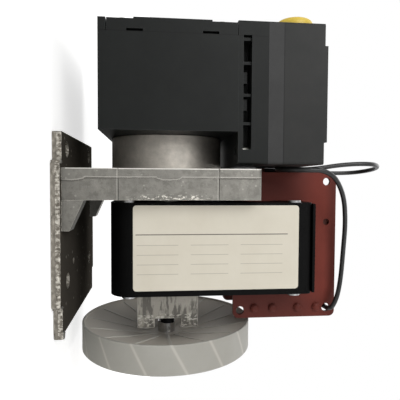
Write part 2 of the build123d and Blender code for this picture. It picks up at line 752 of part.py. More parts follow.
# ---------------------------------------------------------------- stator stack
# Punched C-frame: poles either side of the rotor, the coil limb across the top.
rivet_y = stack_w / 2 - stack_high_r - 0.5
rivet_points = [
    (sign * rivet_y, z) for sign in (-1, 1) for z in (stack_z0 + stack_low_r - 1.5, limb_mid_z)
]
shade_r = bore_r + shade_bar / 2 + 1.0
shade_points = [
    (shade_r * math.cos(math.radians(a)), shaft_z + shade_r * math.sin(math.radians(a)))
    for a in (122, 152, 302, 332)
]
with BuildPart() as stator_core:
    with BuildSketch(Plane.YZ.offset(stator_x0)):
        with Locations((0, (stack_z0 + stack_z1) / 2)):
            Rectangle(stack_w, stack_z1 - stack_z0)
    extrude(amount=stack_len)
    fillet(stator_core.edges().filter_by(Axis.X).group_by(Axis.Z)[0], radius=stack_low_r)
    fillet(stator_core.edges().filter_by(Axis.X).group_by(Axis.Z)[-1], radius=stack_high_r)
    # Window for the coil, bore, and slots that leave thin bridges by the rotor.
    upper_slot = window_z0 - shaft_z - bore_r - bridge_t
    lower_slot = shaft_z - bore_r - bridge_t - stack_z0
    with BuildSketch(Plane.YZ.offset(stator_x0)):
        with Locations((0, (window_z0 + limb_z0) / 2)):
            Rectangle(window_w, window_h)
        with Locations((0, window_z0 - upper_slot / 2)):
            Rectangle(pole_slot_w, upper_slot)
        with Locations((0, stack_z0 + lower_slot / 2)):
            Rectangle(pole_slot_w, lower_slot)
        with Locations((0, shaft_z)):
            Circle(bore_r)
        with Locations(rivet_points):
            Circle(rivet_d / 2 + fit)
        with Locations(stator_screws):
            Circle(stator_screw_d / 2 + fit)
        with Locations(shade_points):
            Circle(shade_bar / 2 + fit)
    extrude(amount=stack_len, mode=Mode.SUBTRACT)
stator_core.part.label = "stator_core"
export_step(stator_core.part, "parts/stator_core.step")

# Copper loops round one tip of each pole.
with BuildPart() as shading_rings:
    for start, end in ((shade_points[0], shade_points[1]), (shade_points[2], shade_points[3])):
        middle = ((start[0] + end[0]) / 2, (start[1] + end[1]) / 2)
        reach = math.dist(start, end)
        tilt = math.degrees(math.atan2(end[1] - start[1], end[0] - start[0]))
        with BuildSketch(Plane.YZ.offset(stator_x0 - shade_over)):
            with Locations(Location((middle[0], middle[1], 0), (0, 0, tilt))):
                SlotCenterToCenter(reach, shade_bar)
        extrude(amount=stack_len + 2 * shade_over)
        with BuildSketch(Plane.YZ.offset(stator_x0 - fit)):
            with Locations(Location((middle[0], middle[1], 0), (0, 0, tilt))):
                Rectangle(reach, 2 * shade_bar)
            with Locations(start, end):
                Circle(shade_bar / 2, mode=Mode.SUBTRACT)
        extrude(amount=stack_len + 2 * fit, mode=Mode.SUBTRACT)
shading_rings.part.label = "shading_rings"
export_step(shading_rings.part, "parts/shading_rings.step")

with BuildPart() as stack_rivets:
    with BuildSketch(Plane.YZ.offset(stator_x0)):
        with Locations(rivet_points):
            Circle(rivet_d / 2)
    extrude(amount=stack_len)
    for face_x, sign in ((stator_x0, -1), (stator_x1, 1)):
        with BuildSketch(Plane.YZ.offset(face_x)):
            with Locations(rivet_points):
                Circle(rivet_head_d / 2)
        extrude(amount=sign * rivet_head_t)
stack_rivets.part.label = "stack_rivets"
export_step(stack_rivets.part, "parts/stack_rivets.step")

# ---------------------------------------------------------------- coil
flange_mid_x = (flange_x0 + flange_x1) / 2
flange_len = flange_x1 - flange_x0
flange_h = limb_h + 2 * flange_over_z
limb_mid_x = (stator_x0 + stator_x1) / 2
lead_hole = (flange_x1 - flange_hole_edge, flange_z1 - flange_hole_edge)
flange_holes = [
    (flange_x0 + flange_hole_edge, flange_z1 - 1.1 * flange_hole_edge, tie_hole_d),
    (flange_x0 + 0.34 * flange_len, flange_z1 - 1.1 * flange_hole_edge, 0.85 * tie_hole_d),
    (lead_hole[0], lead_hole[1], lead_hole_d),
    (flange_x1 - 0.85 * flange_hole_edge, flange_z0 + 0.8 * flange_hole_edge, 1.1 * tie_hole_d),
]
boss_heights = [flange_z0 + share * flange_h for share in (0.206, 0.383, 0.63, 0.815)]
with BuildPart() as coil_bobbin:
    for side in (-1, 1):
        with BuildSketch(Plane.XZ.offset(side * flange_y)):
            with Locations((flange_mid_x, limb_mid_z)):
                RectangleRounded(flange_len, flange_h, flange_r)
        extrude(amount=-side * flange_t)
    with BuildSketch(Plane.XZ.offset(flange_y)):
        with Locations((limb_mid_x, limb_mid_z)):
            bobbin_x = stack_len + 2 * limb_gap + 2 * tube_wall
            bobbin_z = limb_h + 2 * limb_gap + 2 * tube_wall
            Rectangle(bobbin_x, bobbin_z)
    extrude(amount=-2 * flange_y)
    with BuildSketch(Plane.XZ.offset(flange_y)):
        with Locations((limb_mid_x, limb_mid_z)):
            Rectangle(stack_len + 2 * limb_gap, limb_h + 2 * limb_gap)
    extrude(amount=-2 * flange_y, mode=Mode.SUBTRACT)
    with BuildSketch(Plane.XZ.offset(flange_y)):
        for hole_x, hole_z, hole_d in flange_holes:
            with Locations((hole_x, hole_z)):
                Circle(hole_d / 2)
    extrude(amount=-flange_t, mode=Mode.SUBTRACT)
    with BuildSketch(Plane.XZ.offset(flange_y)):
        for boss_z in boss_heights:
            with Locations((flange_x1 - 1.1 * flange_hole_edge, boss_z)):
                Circle(boss_d / 2)
    extrude(amount=boss_h)
    fillet(coil_bobbin.faces().sort_by(Axis.Y)[:4].edges(), radius=0.5 * boss_h)
coil_bobbin.part.label = "coil_bobbin"
export_step(coil_bobbin.part, "parts/coil_bobbin.step")

# Taped winding, with a small collar where the lead comes out between the flanges.
wind_x0 = flange_x0 + coil_under_flange
wind_x1 = flange_x1 - coil_under_flange
wind_y = flange_y - flange_t - seat_gap
collar_y = 11.5
collar_top = head_z0 + 2 * lead_d
collar_margin = 0.05
lead_x = upright_x0 - lead_d / 2 + 0.25
splice_w = lead_d + 2 * collar_margin
with BuildPart() as coil_winding:
    with BuildSketch(Plane.XZ.offset(wind_y)):
        with Locations((flange_mid_x, limb_mid_z)):
            RectangleRounded(wind_x1 - wind_x0, flange_h - 2 * coil_under_flange, wind_corner_r)
        with Locations((limb_mid_x, limb_mid_z)):
            Rectangle(bobbin_x + 2 * fit, bobbin_z + 2 * fit, mode=Mode.SUBTRACT)
    extrude(amount=-2 * wind_y)
    # Collar at the lead's start, and the splice behind the flange's hole at its end.
    with BuildSketch(Plane.XY.offset(collar_top)):
        with Locations(((lead_x - lead_d / 2 - collar_margin + wind_x0 + lead_d) / 2, collar_y)):
            Rectangle(wind_x0 - lead_x + 1.5 * lead_d + collar_margin, 2 * lead_d)
    extrude(amount=seat_gap - 2 * lead_d)
    with BuildSketch(Plane.XZ.offset(wind_y)):
        with Locations(Location((lead_hole[0] - 1.2 * lead_d, lead_hole[1] - 1.2 * lead_d, 0), (0, 0, 45))):
            SlotCenterToCenter(3.4 * lead_d, splice_w)
    extrude(amount=-2 * lead_d)
coil_winding.part.label = "coil_winding"
export_step(coil_winding.part, "parts/coil_winding.step")

# ---------------------------------------------------------------- label plate
with BuildPart() as rating_label:
    with BuildSketch(Plane.XZ.offset(stack_w / 2)):
        with Locations((limb_mid_x - label_back, (stack_z0 + stack_z1) / 2 + label_rise)):
            RectangleRounded(label_w, label_len, label_r)
    extrude(amount=label_t)
rating_label.part.label = "rating_label"
export_step(rating_label.part, "parts/rating_label.step")

# ---------------------------------------------------------------- fan-side bracket
# Two legs on the stack, joined by a wall that holds the shaft's bush.
leg_z0 = shaft_z - bracket_w / 2
with BuildPart() as fan_side_bracket:
    for side in (-1, 1):
        with BuildSketch(Plane.YZ.offset(stator_x1)):
            with Locations((side * (leg_outer_y - leg_t / 2), shaft_z)):
                Rectangle(leg_t, bracket_w)
        extrude(amount=leg_len + horn_len)
    with BuildSketch(Plane.YZ.offset(leg_x1)):
        with Locations((0, shaft_z)):
            Rectangle(2 * leg_outer_y, bracket_w)
    extrude(amount=-bridge_wall)
    with BuildSketch(Plane.YZ.offset(leg_x1)):
        with Locations((0, shaft_z)):
            Rectangle(2 * leg_outer_y, horn_gap)
    extrude(amount=horn_len, mode=Mode.SUBTRACT)
    with BuildSketch(Plane.YZ.offset(leg_x1)):
        with Locations((0, shaft_z)):
            Circle(1.45 * bush_r)
    extrude(amount=-bush_len)
    with BuildSketch(Plane.YZ.offset(leg_x1)):
        with Locations((0, shaft_z)):
            Circle(bush_r + fit)
    extrude(amount=-bush_len, mode=Mode.SUBTRACT)
    with BuildSketch(Plane.YZ.offset(stator_x1)):
        with Locations(stator_screws):
            Circle(stator_screw_d / 2 + fit)
    extrude(amount=leg_len, mode=Mode.SUBTRACT)
fan_side_bracket.part.label = "fan_side_bracket"
export_step(fan_side_bracket.part, "parts/fan_side_bracket.step")

# ---------------------------------------------------------------- fan wheel
# Ring fan: flat blades lean along the shaft and rise towards the ring.
ring_inner_r = fan_r - fan_wall
with BuildPart() as fan_wheel:
    for i in range(blade_count):
        blade_plane = Plane(
            origin=(fan_x1, 0, shaft_z),
            x_dir=(1, 0, 0),
            z_dir=(
                0,
                math.cos(2 * math.pi * i / blade_count),
                math.sin(2 * math.pi * i / blade_count),
            ),
        )
        shift = fan_w * math.tan(math.radians(blade_lean))
        half = blade_t / 2 / math.cos(math.radians(blade_lean))
        with BuildSketch(blade_plane.offset(fan_hub_r - 1)):
            with BuildLine():
                Polyline((-fan_w, shift - half), (-fan_w, shift + half), (0, half), (0, -half), close=True)
            make_face()
        extrude(amount=fan_r - 0.4 * fan_wall - fan_hub_r + 1)
    # Trim the blades to the ring and to the cone above the hub.
    with BuildSketch(Plane.XY.offset(shaft_z)):
        with BuildLine():
            Polyline(
                (fan_x0 - 1, 0),
                (hub_x0 + 0.5, 0),
                (hub_x0 + 0.5, fan_hub_r - 1),
                (fan_x0 + 1, ring_inner_r),
                (fan_x0 + 1, fan_r + 5),
                (fan_x0 - 1, fan_r + 5),
                close=True,
            )
        make_face()
    revolve(axis=Axis((0, 0, shaft_z), (1, 0, 0)), mode=Mode.SUBTRACT)
    with BuildSketch(Plane.YZ.offset(fan_x0)):
        with Locations((0, shaft_z)):
            Circle(2 * fan_r)
            Circle(fan_r - 0.4 * fan_wall, mode=Mode.SUBTRACT)
    extrude(amount=fan_w, mode=Mode.SUBTRACT)
    with BuildSketch(Plane.YZ.offset(fan_x0)):
        with Locations((0, shaft_z)):
            Circle(fan_r)
            Circle(ring_inner_r, mode=Mode.SUBTRACT)
    extrude(amount=fan_w)
    with BuildSketch(Plane.YZ.offset(hub_x0)):
        with Locations((0, shaft_z)):
            Circle(fan_hub_r)
    extrude(amount=fan_hub_t)
    with BuildSketch(Plane.YZ.offset(hub_x0)):
        with Locations((0, shaft_z)):
            Circle(clamp_r - clamp_wall - fit)
    extrude(amount=-clamp_len - 0.5)
    with BuildSketch(Plane.YZ.offset(hub_x0 - clamp_len - 0.5)):
        with Locations((0, shaft_z)):
            Circle(shaft_fan_r + fit)
    extrude(amount=fan_hub_t + clamp_len + 0.5, mode=Mode.SUBTRACT)
fan_wheel.part.label = "fan_wheel"
export_step(fan_wheel.part, "parts/fan_wheel.step")

with BuildPart() as fan_clamp:
    with BuildSketch(Plane.YZ.offset(hub_x0)):
        with Locations((0, shaft_z)):
            Circle(clamp_r)
            Circle(clamp_r - clamp_wall, mode=Mode.SUBTRACT)
            with Locations((0, clamp_r)):
                Rectangle(0.4 * clamp_r, clamp_r, mode=Mode.SUBTRACT)
    extrude(amount=-clamp_len)
fan_clamp.part.label = "fan_clamp"
export_step(fan_clamp.part, "parts/fan_clamp.step")

# ---------------------------------------------------------------- fasteners
# Head screws go down through the head and the plate into the deck.
with BuildPart() as head_screws:
    with BuildSketch(Plane.XY.offset(head_z1 - head_screw_d)):
        with Locations((rod_x, 0)):
            with GridLocations(head_screw_x, head_screw_y, 2, 2):
                Circle(0.85 * head_screw_d)
    extrude(amount=0.75 * head_screw_d)
    with BuildSketch(Plane.XY.offset(head_z1 - 0.6 * head_screw_d)):
        with Locations((rod_x, 0)):
            with GridLocations(head_screw_x, head_screw_y, 2, 2):
                RegularPolygon(0.42 * head_screw_d, 6)
    extrude(amount=0.4 * head_screw_d, mode=Mode.SUBTRACT)
    with BuildSketch(Plane.XY.offset(head_z1 - head_screw_d)):
        with Locations((rod_x, 0)):
            with GridLocations(head_screw_x, head_screw_y, 2, 2):
                Circle(head_screw_d / 2)
    extrude(amount=deck_z0 + 1 - head_z1 + head_screw_d)
head_screws.part.label = "head_screws"
export_step(head_screws.part, "parts/head_screws.step")

with BuildPart() as cover_screws:
    with BuildSketch(Plane.YZ.offset(housing_x0 - cover_t)):
        with Locations((0, cover_mid_z)):
            with GridLocations(cover_grid_y, cover_grid_z, 2, 2):
                Circle(cover_screw_d)
    extrude(amount=-0.5 * cover_screw_d)
    fillet(cover_screws.faces().group_by(Axis.X)[0].edges(), radius=0.3 * cover_screw_d)
    with BuildSketch(Plane.YZ.offset(housing_x0 - cover_t)):
        with Locations((0, cover_mid_z)):
            with GridLocations(cover_grid_y, cover_grid_z, 2, 2):
                Circle(cover_screw_d / 2)
    extrude(amount=cover_t + 2.8 * cover_screw_d)
cover_screws.part.label = "cover_screws"
export_step(cover_screws.part, "parts/cover_screws.step")

# Frame screws clamp web, spigot and crankcase from inside the upright's pocket.
with BuildPart() as frame_screws:
    with BuildSketch(Plane.YZ.offset(upright_x0 + web_t)):
        with Locations((0, shaft_z)):
            with PolarLocations(frame_screw_pcd / 2, 4, start_angle=45):
                Circle(0.85 * frame_screw_d)
    extrude(amount=frame_screw_d)
    with BuildSketch(Plane.YZ.offset(upright_x0 + web_t)):
        with Locations((0, shaft_z)):
            with PolarLocations(frame_screw_pcd / 2, 4, start_angle=45):
                Circle(frame_screw_d / 2)
    extrude(amount=-(web_t + spigot_len + end_wall - 0.6))
frame_screws.part.label = "frame_screws"
export_step(frame_screws.part, "parts/frame_screws.step")

# Long screws clamp the fan-side bracket and the stack to the upright.
with BuildPart() as stator_screws_pair:
    with BuildSketch(Plane.YZ.offset(leg_x1)):
        with Locations(stator_screws):
            Circle(0.85 * stator_screw_d)
    extrude(amount=screw_head_h)
    with BuildSketch(Plane.YZ.offset(leg_x1)):
        with Locations(stator_screws):
            Circle(stator_screw_d / 2)
    extrude(amount=-(leg_x1 - upright_x0 - 2))
stator_screws_pair.part.label = "stator_screws"
export_step(stator_screws_pair.part, "parts/stator_screws.step")

with BuildPart() as clamp_screw:
    with BuildSketch(Plane.XY.offset(disc_z + disc_t - 2 * seat_gap)):
        with Locations((rod_x, 0)):
            Circle(clamp_screw_d / 2)
    extrude(amount=-(disc_t + diaphragm_t + 1.8 * clamp_screw_d))
clamp_screw.part.label = "clamp_screw"
export_step(clamp_screw.part, "parts/clamp_screw.step")

# ---------------------------------------------------------------- coil lead
# One insulated lead: out of the winding's collar, up past the head in a loop,
# down and round in front of the flange, then into the flange's corner hole.
lead_points = [
    (lead_x, collar_y, collar_top),
    (lead_x, collar_y, 123.0),
    (-21.8, 12.0, 143.0),
    (-21.8, 12.6, 164.0),
    (-24.2, -1.8, 173.2),
    (-26.5, -15.9, 164.6),
    (-26.0, -15.8, 146.6),
    (lead_x, -15.0, 128.8),
    (lead_x, -15.0, 112.4),
    (-22.6, -28.5, 104.6),
    (-22.1, -42.1, 112.4),
    (-22.0, -42.1, 128.3),
    (-11.2, -35.0, 138.1),
    (3.5, -28.4, 142.4),
    (19.5, -24.9, 142.9),
    (34.5, -23.9, 142.3),
    (45.0, -24.2, 140.2),
    (lead_hole[0], -24.6, lead_hole[1]),
    (lead_hole[0], -wind_y, lead_hole[1]),
]
lead_radii = []
for before, corner, after in zip(lead_points, lead_points[1:], lead_points[2:]):
    run_in = Vector(corner) - Vector(before)
    run_out = Vector(after) - Vector(corner)
    turn = math.radians(run_in.get_angle(run_out))
    lead_radii.append(0.45 * min(run_in.length, run_out.length) / math.tan(turn / 2))
print("lead radii", [round(radius, 1) for radius in lead_radii])
with BuildPart() as motor_lead:
    with BuildLine() as lead_route:
        FilletPolyline(*lead_points, radius=lead_radii)
    with BuildSketch(Plane(origin=lead_points[0], z_dir=(0, 0, 1))):
        Circle(lead_d / 2)
    sweep()
lead_length = lead_route.wire().length
lead_section = math.pi * lead_d**2 / 4
print("lead length", round(lead_length, 1), "volume ratio", motor_lead.part.volume / lead_section / lead_length)
motor_lead.part.label = "motor_lead"
export_step(motor_lead.part, "parts/motor_lead.step")
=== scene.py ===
# %% [markdown]
# # A diaphragm pump, dressed over its frame
# The pump's solids come packed as a fixed frame: each one is a mesh in metres, already in
# its place. This lesson sets the camera, gives the coil its flexible lead, adds the small
# pieces that are easier to model than to draft, and gives every piece a procedural finish.

# %% Load the frame
import bpy
import json
import math
from mathutils import Vector, Matrix

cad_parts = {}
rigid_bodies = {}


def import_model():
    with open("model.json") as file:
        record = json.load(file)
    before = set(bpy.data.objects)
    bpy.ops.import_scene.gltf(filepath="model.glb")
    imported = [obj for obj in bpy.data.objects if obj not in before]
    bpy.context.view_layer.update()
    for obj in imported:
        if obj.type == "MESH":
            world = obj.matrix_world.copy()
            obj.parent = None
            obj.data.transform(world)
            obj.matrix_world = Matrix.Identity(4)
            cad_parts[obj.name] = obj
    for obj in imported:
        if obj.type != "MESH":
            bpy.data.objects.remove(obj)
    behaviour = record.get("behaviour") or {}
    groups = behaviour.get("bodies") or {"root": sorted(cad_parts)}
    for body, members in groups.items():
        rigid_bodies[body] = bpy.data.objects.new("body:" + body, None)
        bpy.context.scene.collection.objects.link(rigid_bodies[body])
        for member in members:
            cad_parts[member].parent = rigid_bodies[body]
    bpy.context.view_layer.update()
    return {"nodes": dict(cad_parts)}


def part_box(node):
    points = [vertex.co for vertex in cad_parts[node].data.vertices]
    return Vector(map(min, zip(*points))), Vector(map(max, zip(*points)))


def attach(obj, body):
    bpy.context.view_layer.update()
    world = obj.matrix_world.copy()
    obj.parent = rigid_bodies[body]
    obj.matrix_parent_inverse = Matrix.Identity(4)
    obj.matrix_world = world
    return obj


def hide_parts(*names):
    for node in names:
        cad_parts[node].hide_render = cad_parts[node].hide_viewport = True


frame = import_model()
print("solids in the frame:", len(frame["nodes"]))

# %% [markdown]
# ## Places read from the frame
# The new pieces, and a few places in the finishes, are set from the boxes of four solids. Each
# box is its lowest and its highest corner. The other places in this lesson, such as the
# lead's route, the cast bands, the seams and the label's rules, are plain numbers in metres,
# and have to be changed by hand if the solids change.

# %% Places that several steps need
foot_low, foot_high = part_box("foot_bracket")
stack_low, stack_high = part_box("stator_core")
coil_low, coil_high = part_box("coil_bobbin")
fan_low, fan_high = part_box("fan_wheel")
fan_front, fan_rear = fan_low[0], fan_high[0]
shaft_height = (fan_low[2] + fan_high[2]) / 2
blade_total = 15
print("shaft height:", round(shaft_height, 4), "fan width:", round(fan_rear - fan_front, 4))

# %% [markdown]
# ## Camera
# The pump is looked at from its label side with the foot on the left, so the camera lies on
# its side: its right is the pump's up (+Z), and its up is the side of the head (-X). A
# direction and a roll are easier to read than Euler angles, so the camera's axes are made
# from them and put in its matrix.

# %% Camera
eye = Vector((-0.0160, -0.2436, 0.0455))
ahead = Vector((0.0412, 1.0, 0.1007)).normalized()
roll = math.radians(0.05)

side = (Vector((0, 0, 1)) - Vector((0, 0, 1)).project(ahead)).normalized()
over = side.cross(ahead)
right = math.cos(roll) * side + math.sin(roll) * over
up = right.cross(ahead)
turn = Matrix((right, up, -ahead)).transposed()

sensor_width = 36.0
focal_share = 1.0925
lens_data = bpy.data.cameras.new("pump_camera")
lens_data.sensor_width = sensor_width
lens_data.lens = focal_share * sensor_width
lens_data.clip_start = 0.01
pump_camera = bpy.data.objects.new("pump_camera", lens_data)
bpy.context.scene.collection.objects.link(pump_camera)
pump_camera.matrix_world = Matrix.Translation(eye) @ turn.to_4x4()
bpy.context.scene.camera = pump_camera
print("camera looks along", [round(c, 3) for c in ahead], "up", [round(c, 3) for c in up])

# %% [markdown]
# ## The coil's lead
# A thin insulated wire leaves the winding through a small collar, loops up past the head,
# dips between the head and the coil, and goes back into a hole in the coil's flange. A NURBS
# curve suits a wire: its control points are few and the line between them is always smooth.
# The order and the end setting come after the points, or the curve stays made of straight
# runs. Its line is read once while it has no thickness, then it is given its thickness and
# turned into a mesh, so the sizes of the whole object can be measured.

# %% Lead route and curve
lead_route = [
    (-0.02305, 0.0115, 0.1091), (-0.02305, 0.0115, 0.1230), (-0.0218, 0.0120, 0.1430),
    (-0.0218, 0.0126, 0.1640), (-0.0242, -0.0018, 0.1732), (-0.0265, -0.0159, 0.1646),
    (-0.0260, -0.0158, 0.1466), (-0.02305, -0.0150, 0.1288), (-0.02305, -0.0150, 0.1124),
    (-0.0226, -0.0285, 0.1046), (-0.0221, -0.0421, 0.1124), (-0.0220, -0.0421, 0.1283),
    (-0.0112, -0.0350, 0.1381), (0.0035, -0.0284, 0.1424), (0.0195, -0.0249, 0.1429),
    (0.0345, -0.0239, 0.1423), (0.0450, -0.0242, 0.1402), (0.0510, -0.0246, 0.1364),
    (0.0510, -0.0164, 0.1364),
]
lead_diameter = 0.0024
lead_curve = bpy.data.curves.new("coil_lead", "CURVE")
lead_curve.dimensions = "3D"
lead_curve.resolution_u = 14
lead_line = lead_curve.splines.new("NURBS")
lead_line.points.add(len(lead_route) - 1)
for point, place in zip(lead_line.points, lead_route):
    point.co = (*place, 1.0)
lead_line.order_u = 3
lead_line.use_endpoint_u = True
coil_lead = bpy.data.objects.new("coil_lead", lead_curve)
bpy.context.scene.collection.objects.link(coil_lead)
bpy.context.view_layer.update()
centreline = [tuple(vertex.co) for vertex in coil_lead.to_mesh().vertices]
coil_lead.to_mesh_clear()
lead_curve.bevel_depth = lead_diameter / 2
lead_curve.bevel_resolution = 5
lead_curve.use_fill_caps = True
bpy.ops.object.select_all(action="DESELECT")
coil_lead.select_set(True)
bpy.context.view_layer.objects.active = coil_lead
bpy.ops.object.convert(target="MESH")
coil_lead = bpy.context.object
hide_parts("motor_lead")
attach(coil_lead, "pump_body")
print("lead points:", len(lead_route), "along the line:", len(centreline))

# %% [markdown]
# ## Helpers for nodes
# A node is added and fed in one call. Its inputs are given by place or by name, and a value
# that is another node's output is linked, so a tree reads from its textures to its shader.

# %% Helpers for nodes
WHITE = (1.0, 1.0, 1.0, 1.0)


def linear(red, green, blue):
    """Turns a screen colour, 0 to 255, into the linear colour that a shader takes."""
    values = [c / 255 for c in (red, green, blue)]
    lit = tuple(v / 12.92 if v <= 0.04045 else ((v + 0.055) / 1.055) ** 2.4 for v in values)
    return lit + (1.0,)


def feed(tree, socket, value):
    """Links a socket to another node's output, or sets its value."""
    if isinstance(value, bpy.types.NodeSocket):
        tree.links.new(value, socket)
    else:
        socket.default_value = value


def add_node(tree, kind, *by_place, operation=None, **by_name):
    """Adds a node and feeds its inputs, by place, or by name with _ for a space."""
    made = tree.nodes.new(kind)
    if operation:
        made.operation = operation
    for place, value in enumerate(by_place):
        feed(tree, made.inputs[place], value)
    for name, value in by_name.items():
        feed(tree, made.inputs[name.replace("_", " ")], value)
    return made


print("a mid grey of 128 is", round(linear(128, 128, 128)[0], 3), "in linear light")

# %% [markdown]
# ## Floor, surroundings and lamps
# The floor is a plain pale plane that takes the pump's shadow. It also glows, to the camera
# only and more with distance, so that it fades into the white round it. To the camera, and
# in reflections, the surroundings are white, but they give only part of the light: a Light
# Path node picks which rays see which strength. Three soft area lamps shape the forms.

# %% Floor
floor_drop = 0.0002
fade_start, fade_end = 0.15, 0.6
glow_near, glow_far = 0.62, 1.0
bpy.ops.object.select_all(action="DESELECT")
bpy.ops.mesh.primitive_plane_add(size=6.0, location=(0, 0, -floor_drop))
studio_floor = bpy.context.object
studio_floor.name = "studio_floor"
floor_finish = bpy.data.materials.new("studio_floor")
floor_finish.use_nodes = True
tree = floor_finish.node_tree
tree.nodes.clear()
here = add_node(tree, "ShaderNodeTexCoord")
away = add_node(tree, "ShaderNodeVectorMath", here.outputs["Object"], operation="LENGTH")
fade = add_node(
    tree, "ShaderNodeMapRange", Value=away.outputs["Value"],
    From_Min=fade_start, From_Max=fade_end, To_Min=glow_near, To_Max=glow_far,
)
rays = add_node(tree, "ShaderNodeLightPath")
seen = add_node(
    tree, "ShaderNodeMath", rays.outputs["Is Camera Ray"], fade.outputs["Result"],
    operation="MULTIPLY",
)
matt = add_node(tree, "ShaderNodeBsdfDiffuse", Color=(0.78, 0.78, 0.77, 1.0))
glow = add_node(tree, "ShaderNodeEmission", Color=WHITE, Strength=seen.outputs[0])
both = add_node(tree, "ShaderNodeAddShader", matt.outputs[0], glow.outputs[0])
add_node(tree, "ShaderNodeOutputMaterial", Surface=both.outputs[0])
studio_floor.data.materials.append(floor_finish)
print("floor nodes:", len(tree.nodes))

# %% Surroundings
soft_strength = 0.34
room = bpy.data.worlds.new("studio_room")
bpy.context.scene.world = room
room.use_nodes = True
tree = room.node_tree
tree.nodes.clear()
rays = add_node(tree, "ShaderNodeLightPath")
direct = add_node(
    tree, "ShaderNodeMath", rays.outputs["Is Camera Ray"], rays.outputs["Is Glossy Ray"],
    operation="MAXIMUM",
)
shown = add_node(
    tree, "ShaderNodeMath", direct.outputs[0], rays.outputs["Is Transmission Ray"],
    operation="MAXIMUM",
)
soft_light = add_node(tree, "ShaderNodeBackground", Color=WHITE, Strength=soft_strength)
white = add_node(tree, "ShaderNodeBackground", Color=WHITE, Strength=1.0)
chosen = add_node(
    tree, "ShaderNodeMixShader", shown.outputs[0], soft_light.outputs[0], white.outputs[0]
)
add_node(tree, "ShaderNodeOutputWorld", Surface=chosen.outputs[0])
bpy.context.scene.view_settings.view_transform = "Standard"
print("surroundings:", room.name, "soft strength", soft_strength)

# %% Lamps
middle = Vector((-0.01, 0.0, 0.075))


def soft_lamp(name, place, size, watts):
    """Adds a square area lamp at a place, aimed at the middle of the pump."""
    data = bpy.data.lights.new(name, "AREA")
    data.size = size
    data.energy = watts
    lamp = bpy.data.objects.new(name, data)
    bpy.context.scene.collection.objects.link(lamp)
    aim = (middle - Vector(place)).to_track_quat("-Z", "Y")
    lamp.matrix_world = Matrix.Translation(Vector(place)) @ aim.to_matrix().to_4x4()
    return lamp


soft_lamp("key_lamp", (-0.45, -0.75, 0.45), 0.55, 4.7)
soft_lamp("fill_lamp", (0.55, -0.65, 0.25), 0.7, 1.9)
soft_lamp("top_lamp", (-0.1, 0.25, 0.95), 0.7, 2.8)

# %% [markdown]
# ## Shared effects
# Each effect that several finishes need is a node group with named sockets: fine grain, worn
# edges, and small flecks. A group gives only a mask, and each material decides what the
# mask changes: colour, roughness or height.

# %% Start of a group
FLOAT = "NodeSocketFloat"
VECTOR = "NodeSocketVector"


def new_group(name, *inputs):
    """Starts a node group with named inputs and their start values, and a mask as output."""
    group = bpy.data.node_groups.new(name, "ShaderNodeTree")
    group.interface.new_socket(name="Vector", in_out="INPUT", socket_type=VECTOR)
    for label, kind, value in inputs:
        socket = group.interface.new_socket(name=label, in_out="INPUT", socket_type=kind)
        socket.default_value = value
    group.interface.new_socket(name="Mask", in_out="OUTPUT", socket_type=FLOAT)
    given = group.nodes.new("NodeGroupInput").outputs
    return group, given, group.nodes.new("NodeGroupOutput").inputs


# %% Fine grain: one noise, stretched by a vector, spread to a mask from 0 to 1
fine_grain, given, result = new_group(
    "fine_grain", ("Stretch", VECTOR, (1.0, 1.0, 1.0)), ("Scale", FLOAT, 1000.0)
)
stretched = add_node(
    fine_grain, "ShaderNodeVectorMath", given["Vector"], given["Stretch"], operation="MULTIPLY"
)
noise = add_node(
    fine_grain, "ShaderNodeTexNoise", Vector=stretched.outputs[0], Scale=given["Scale"],
    Detail=5.0, Roughness=0.62,
)
spread = add_node(
    fine_grain, "ShaderNodeMapRange", Value=noise.outputs["Fac"], From_Min=0.3, From_Max=0.7
)
feed(fine_grain, result["Mask"], spread.outputs["Result"])
print("fine_grain:", len(fine_grain.nodes), "nodes")

# %% Worn edges: where a rounded normal differs from the face's own, there is an edge
worn_edges, given, result = new_group(
    "worn_edges", ("Width", FLOAT, 0.0004), ("Break-up", FLOAT, 0.5)
)
rounded = add_node(worn_edges, "ShaderNodeBevel", Radius=given["Width"])
rounded.samples = 6
surface = add_node(worn_edges, "ShaderNodeNewGeometry")
agree = add_node(
    worn_edges, "ShaderNodeVectorMath", rounded.outputs["Normal"], surface.outputs["Normal"],
    operation="DOT_PRODUCT",
)
turned_away = add_node(
    worn_edges, "ShaderNodeMapRange", Value=agree.outputs["Value"], From_Min=0.99, From_Max=0.86
)
rub = add_node(
    worn_edges, "ShaderNodeTexNoise", Vector=given["Vector"], Scale=420.0, Detail=4.0
)
rub_spread = add_node(
    worn_edges, "ShaderNodeMapRange", Value=rub.outputs["Fac"], From_Min=0.38, From_Max=0.58
)
rub_part = add_node(worn_edges, "ShaderNodeMix", given["Break-up"])
feed(worn_edges, rub_part.inputs[2], 1.0)
feed(worn_edges, rub_part.inputs[3], rub_spread.outputs["Result"])
whole = add_node(
    worn_edges, "ShaderNodeMath", turned_away.outputs["Result"], rub_part.outputs[0],
    operation="MULTIPLY",
)
feed(worn_edges, result["Mask"], whole.outputs[0])
print("worn_edges:", len(worn_edges.nodes), "nodes")

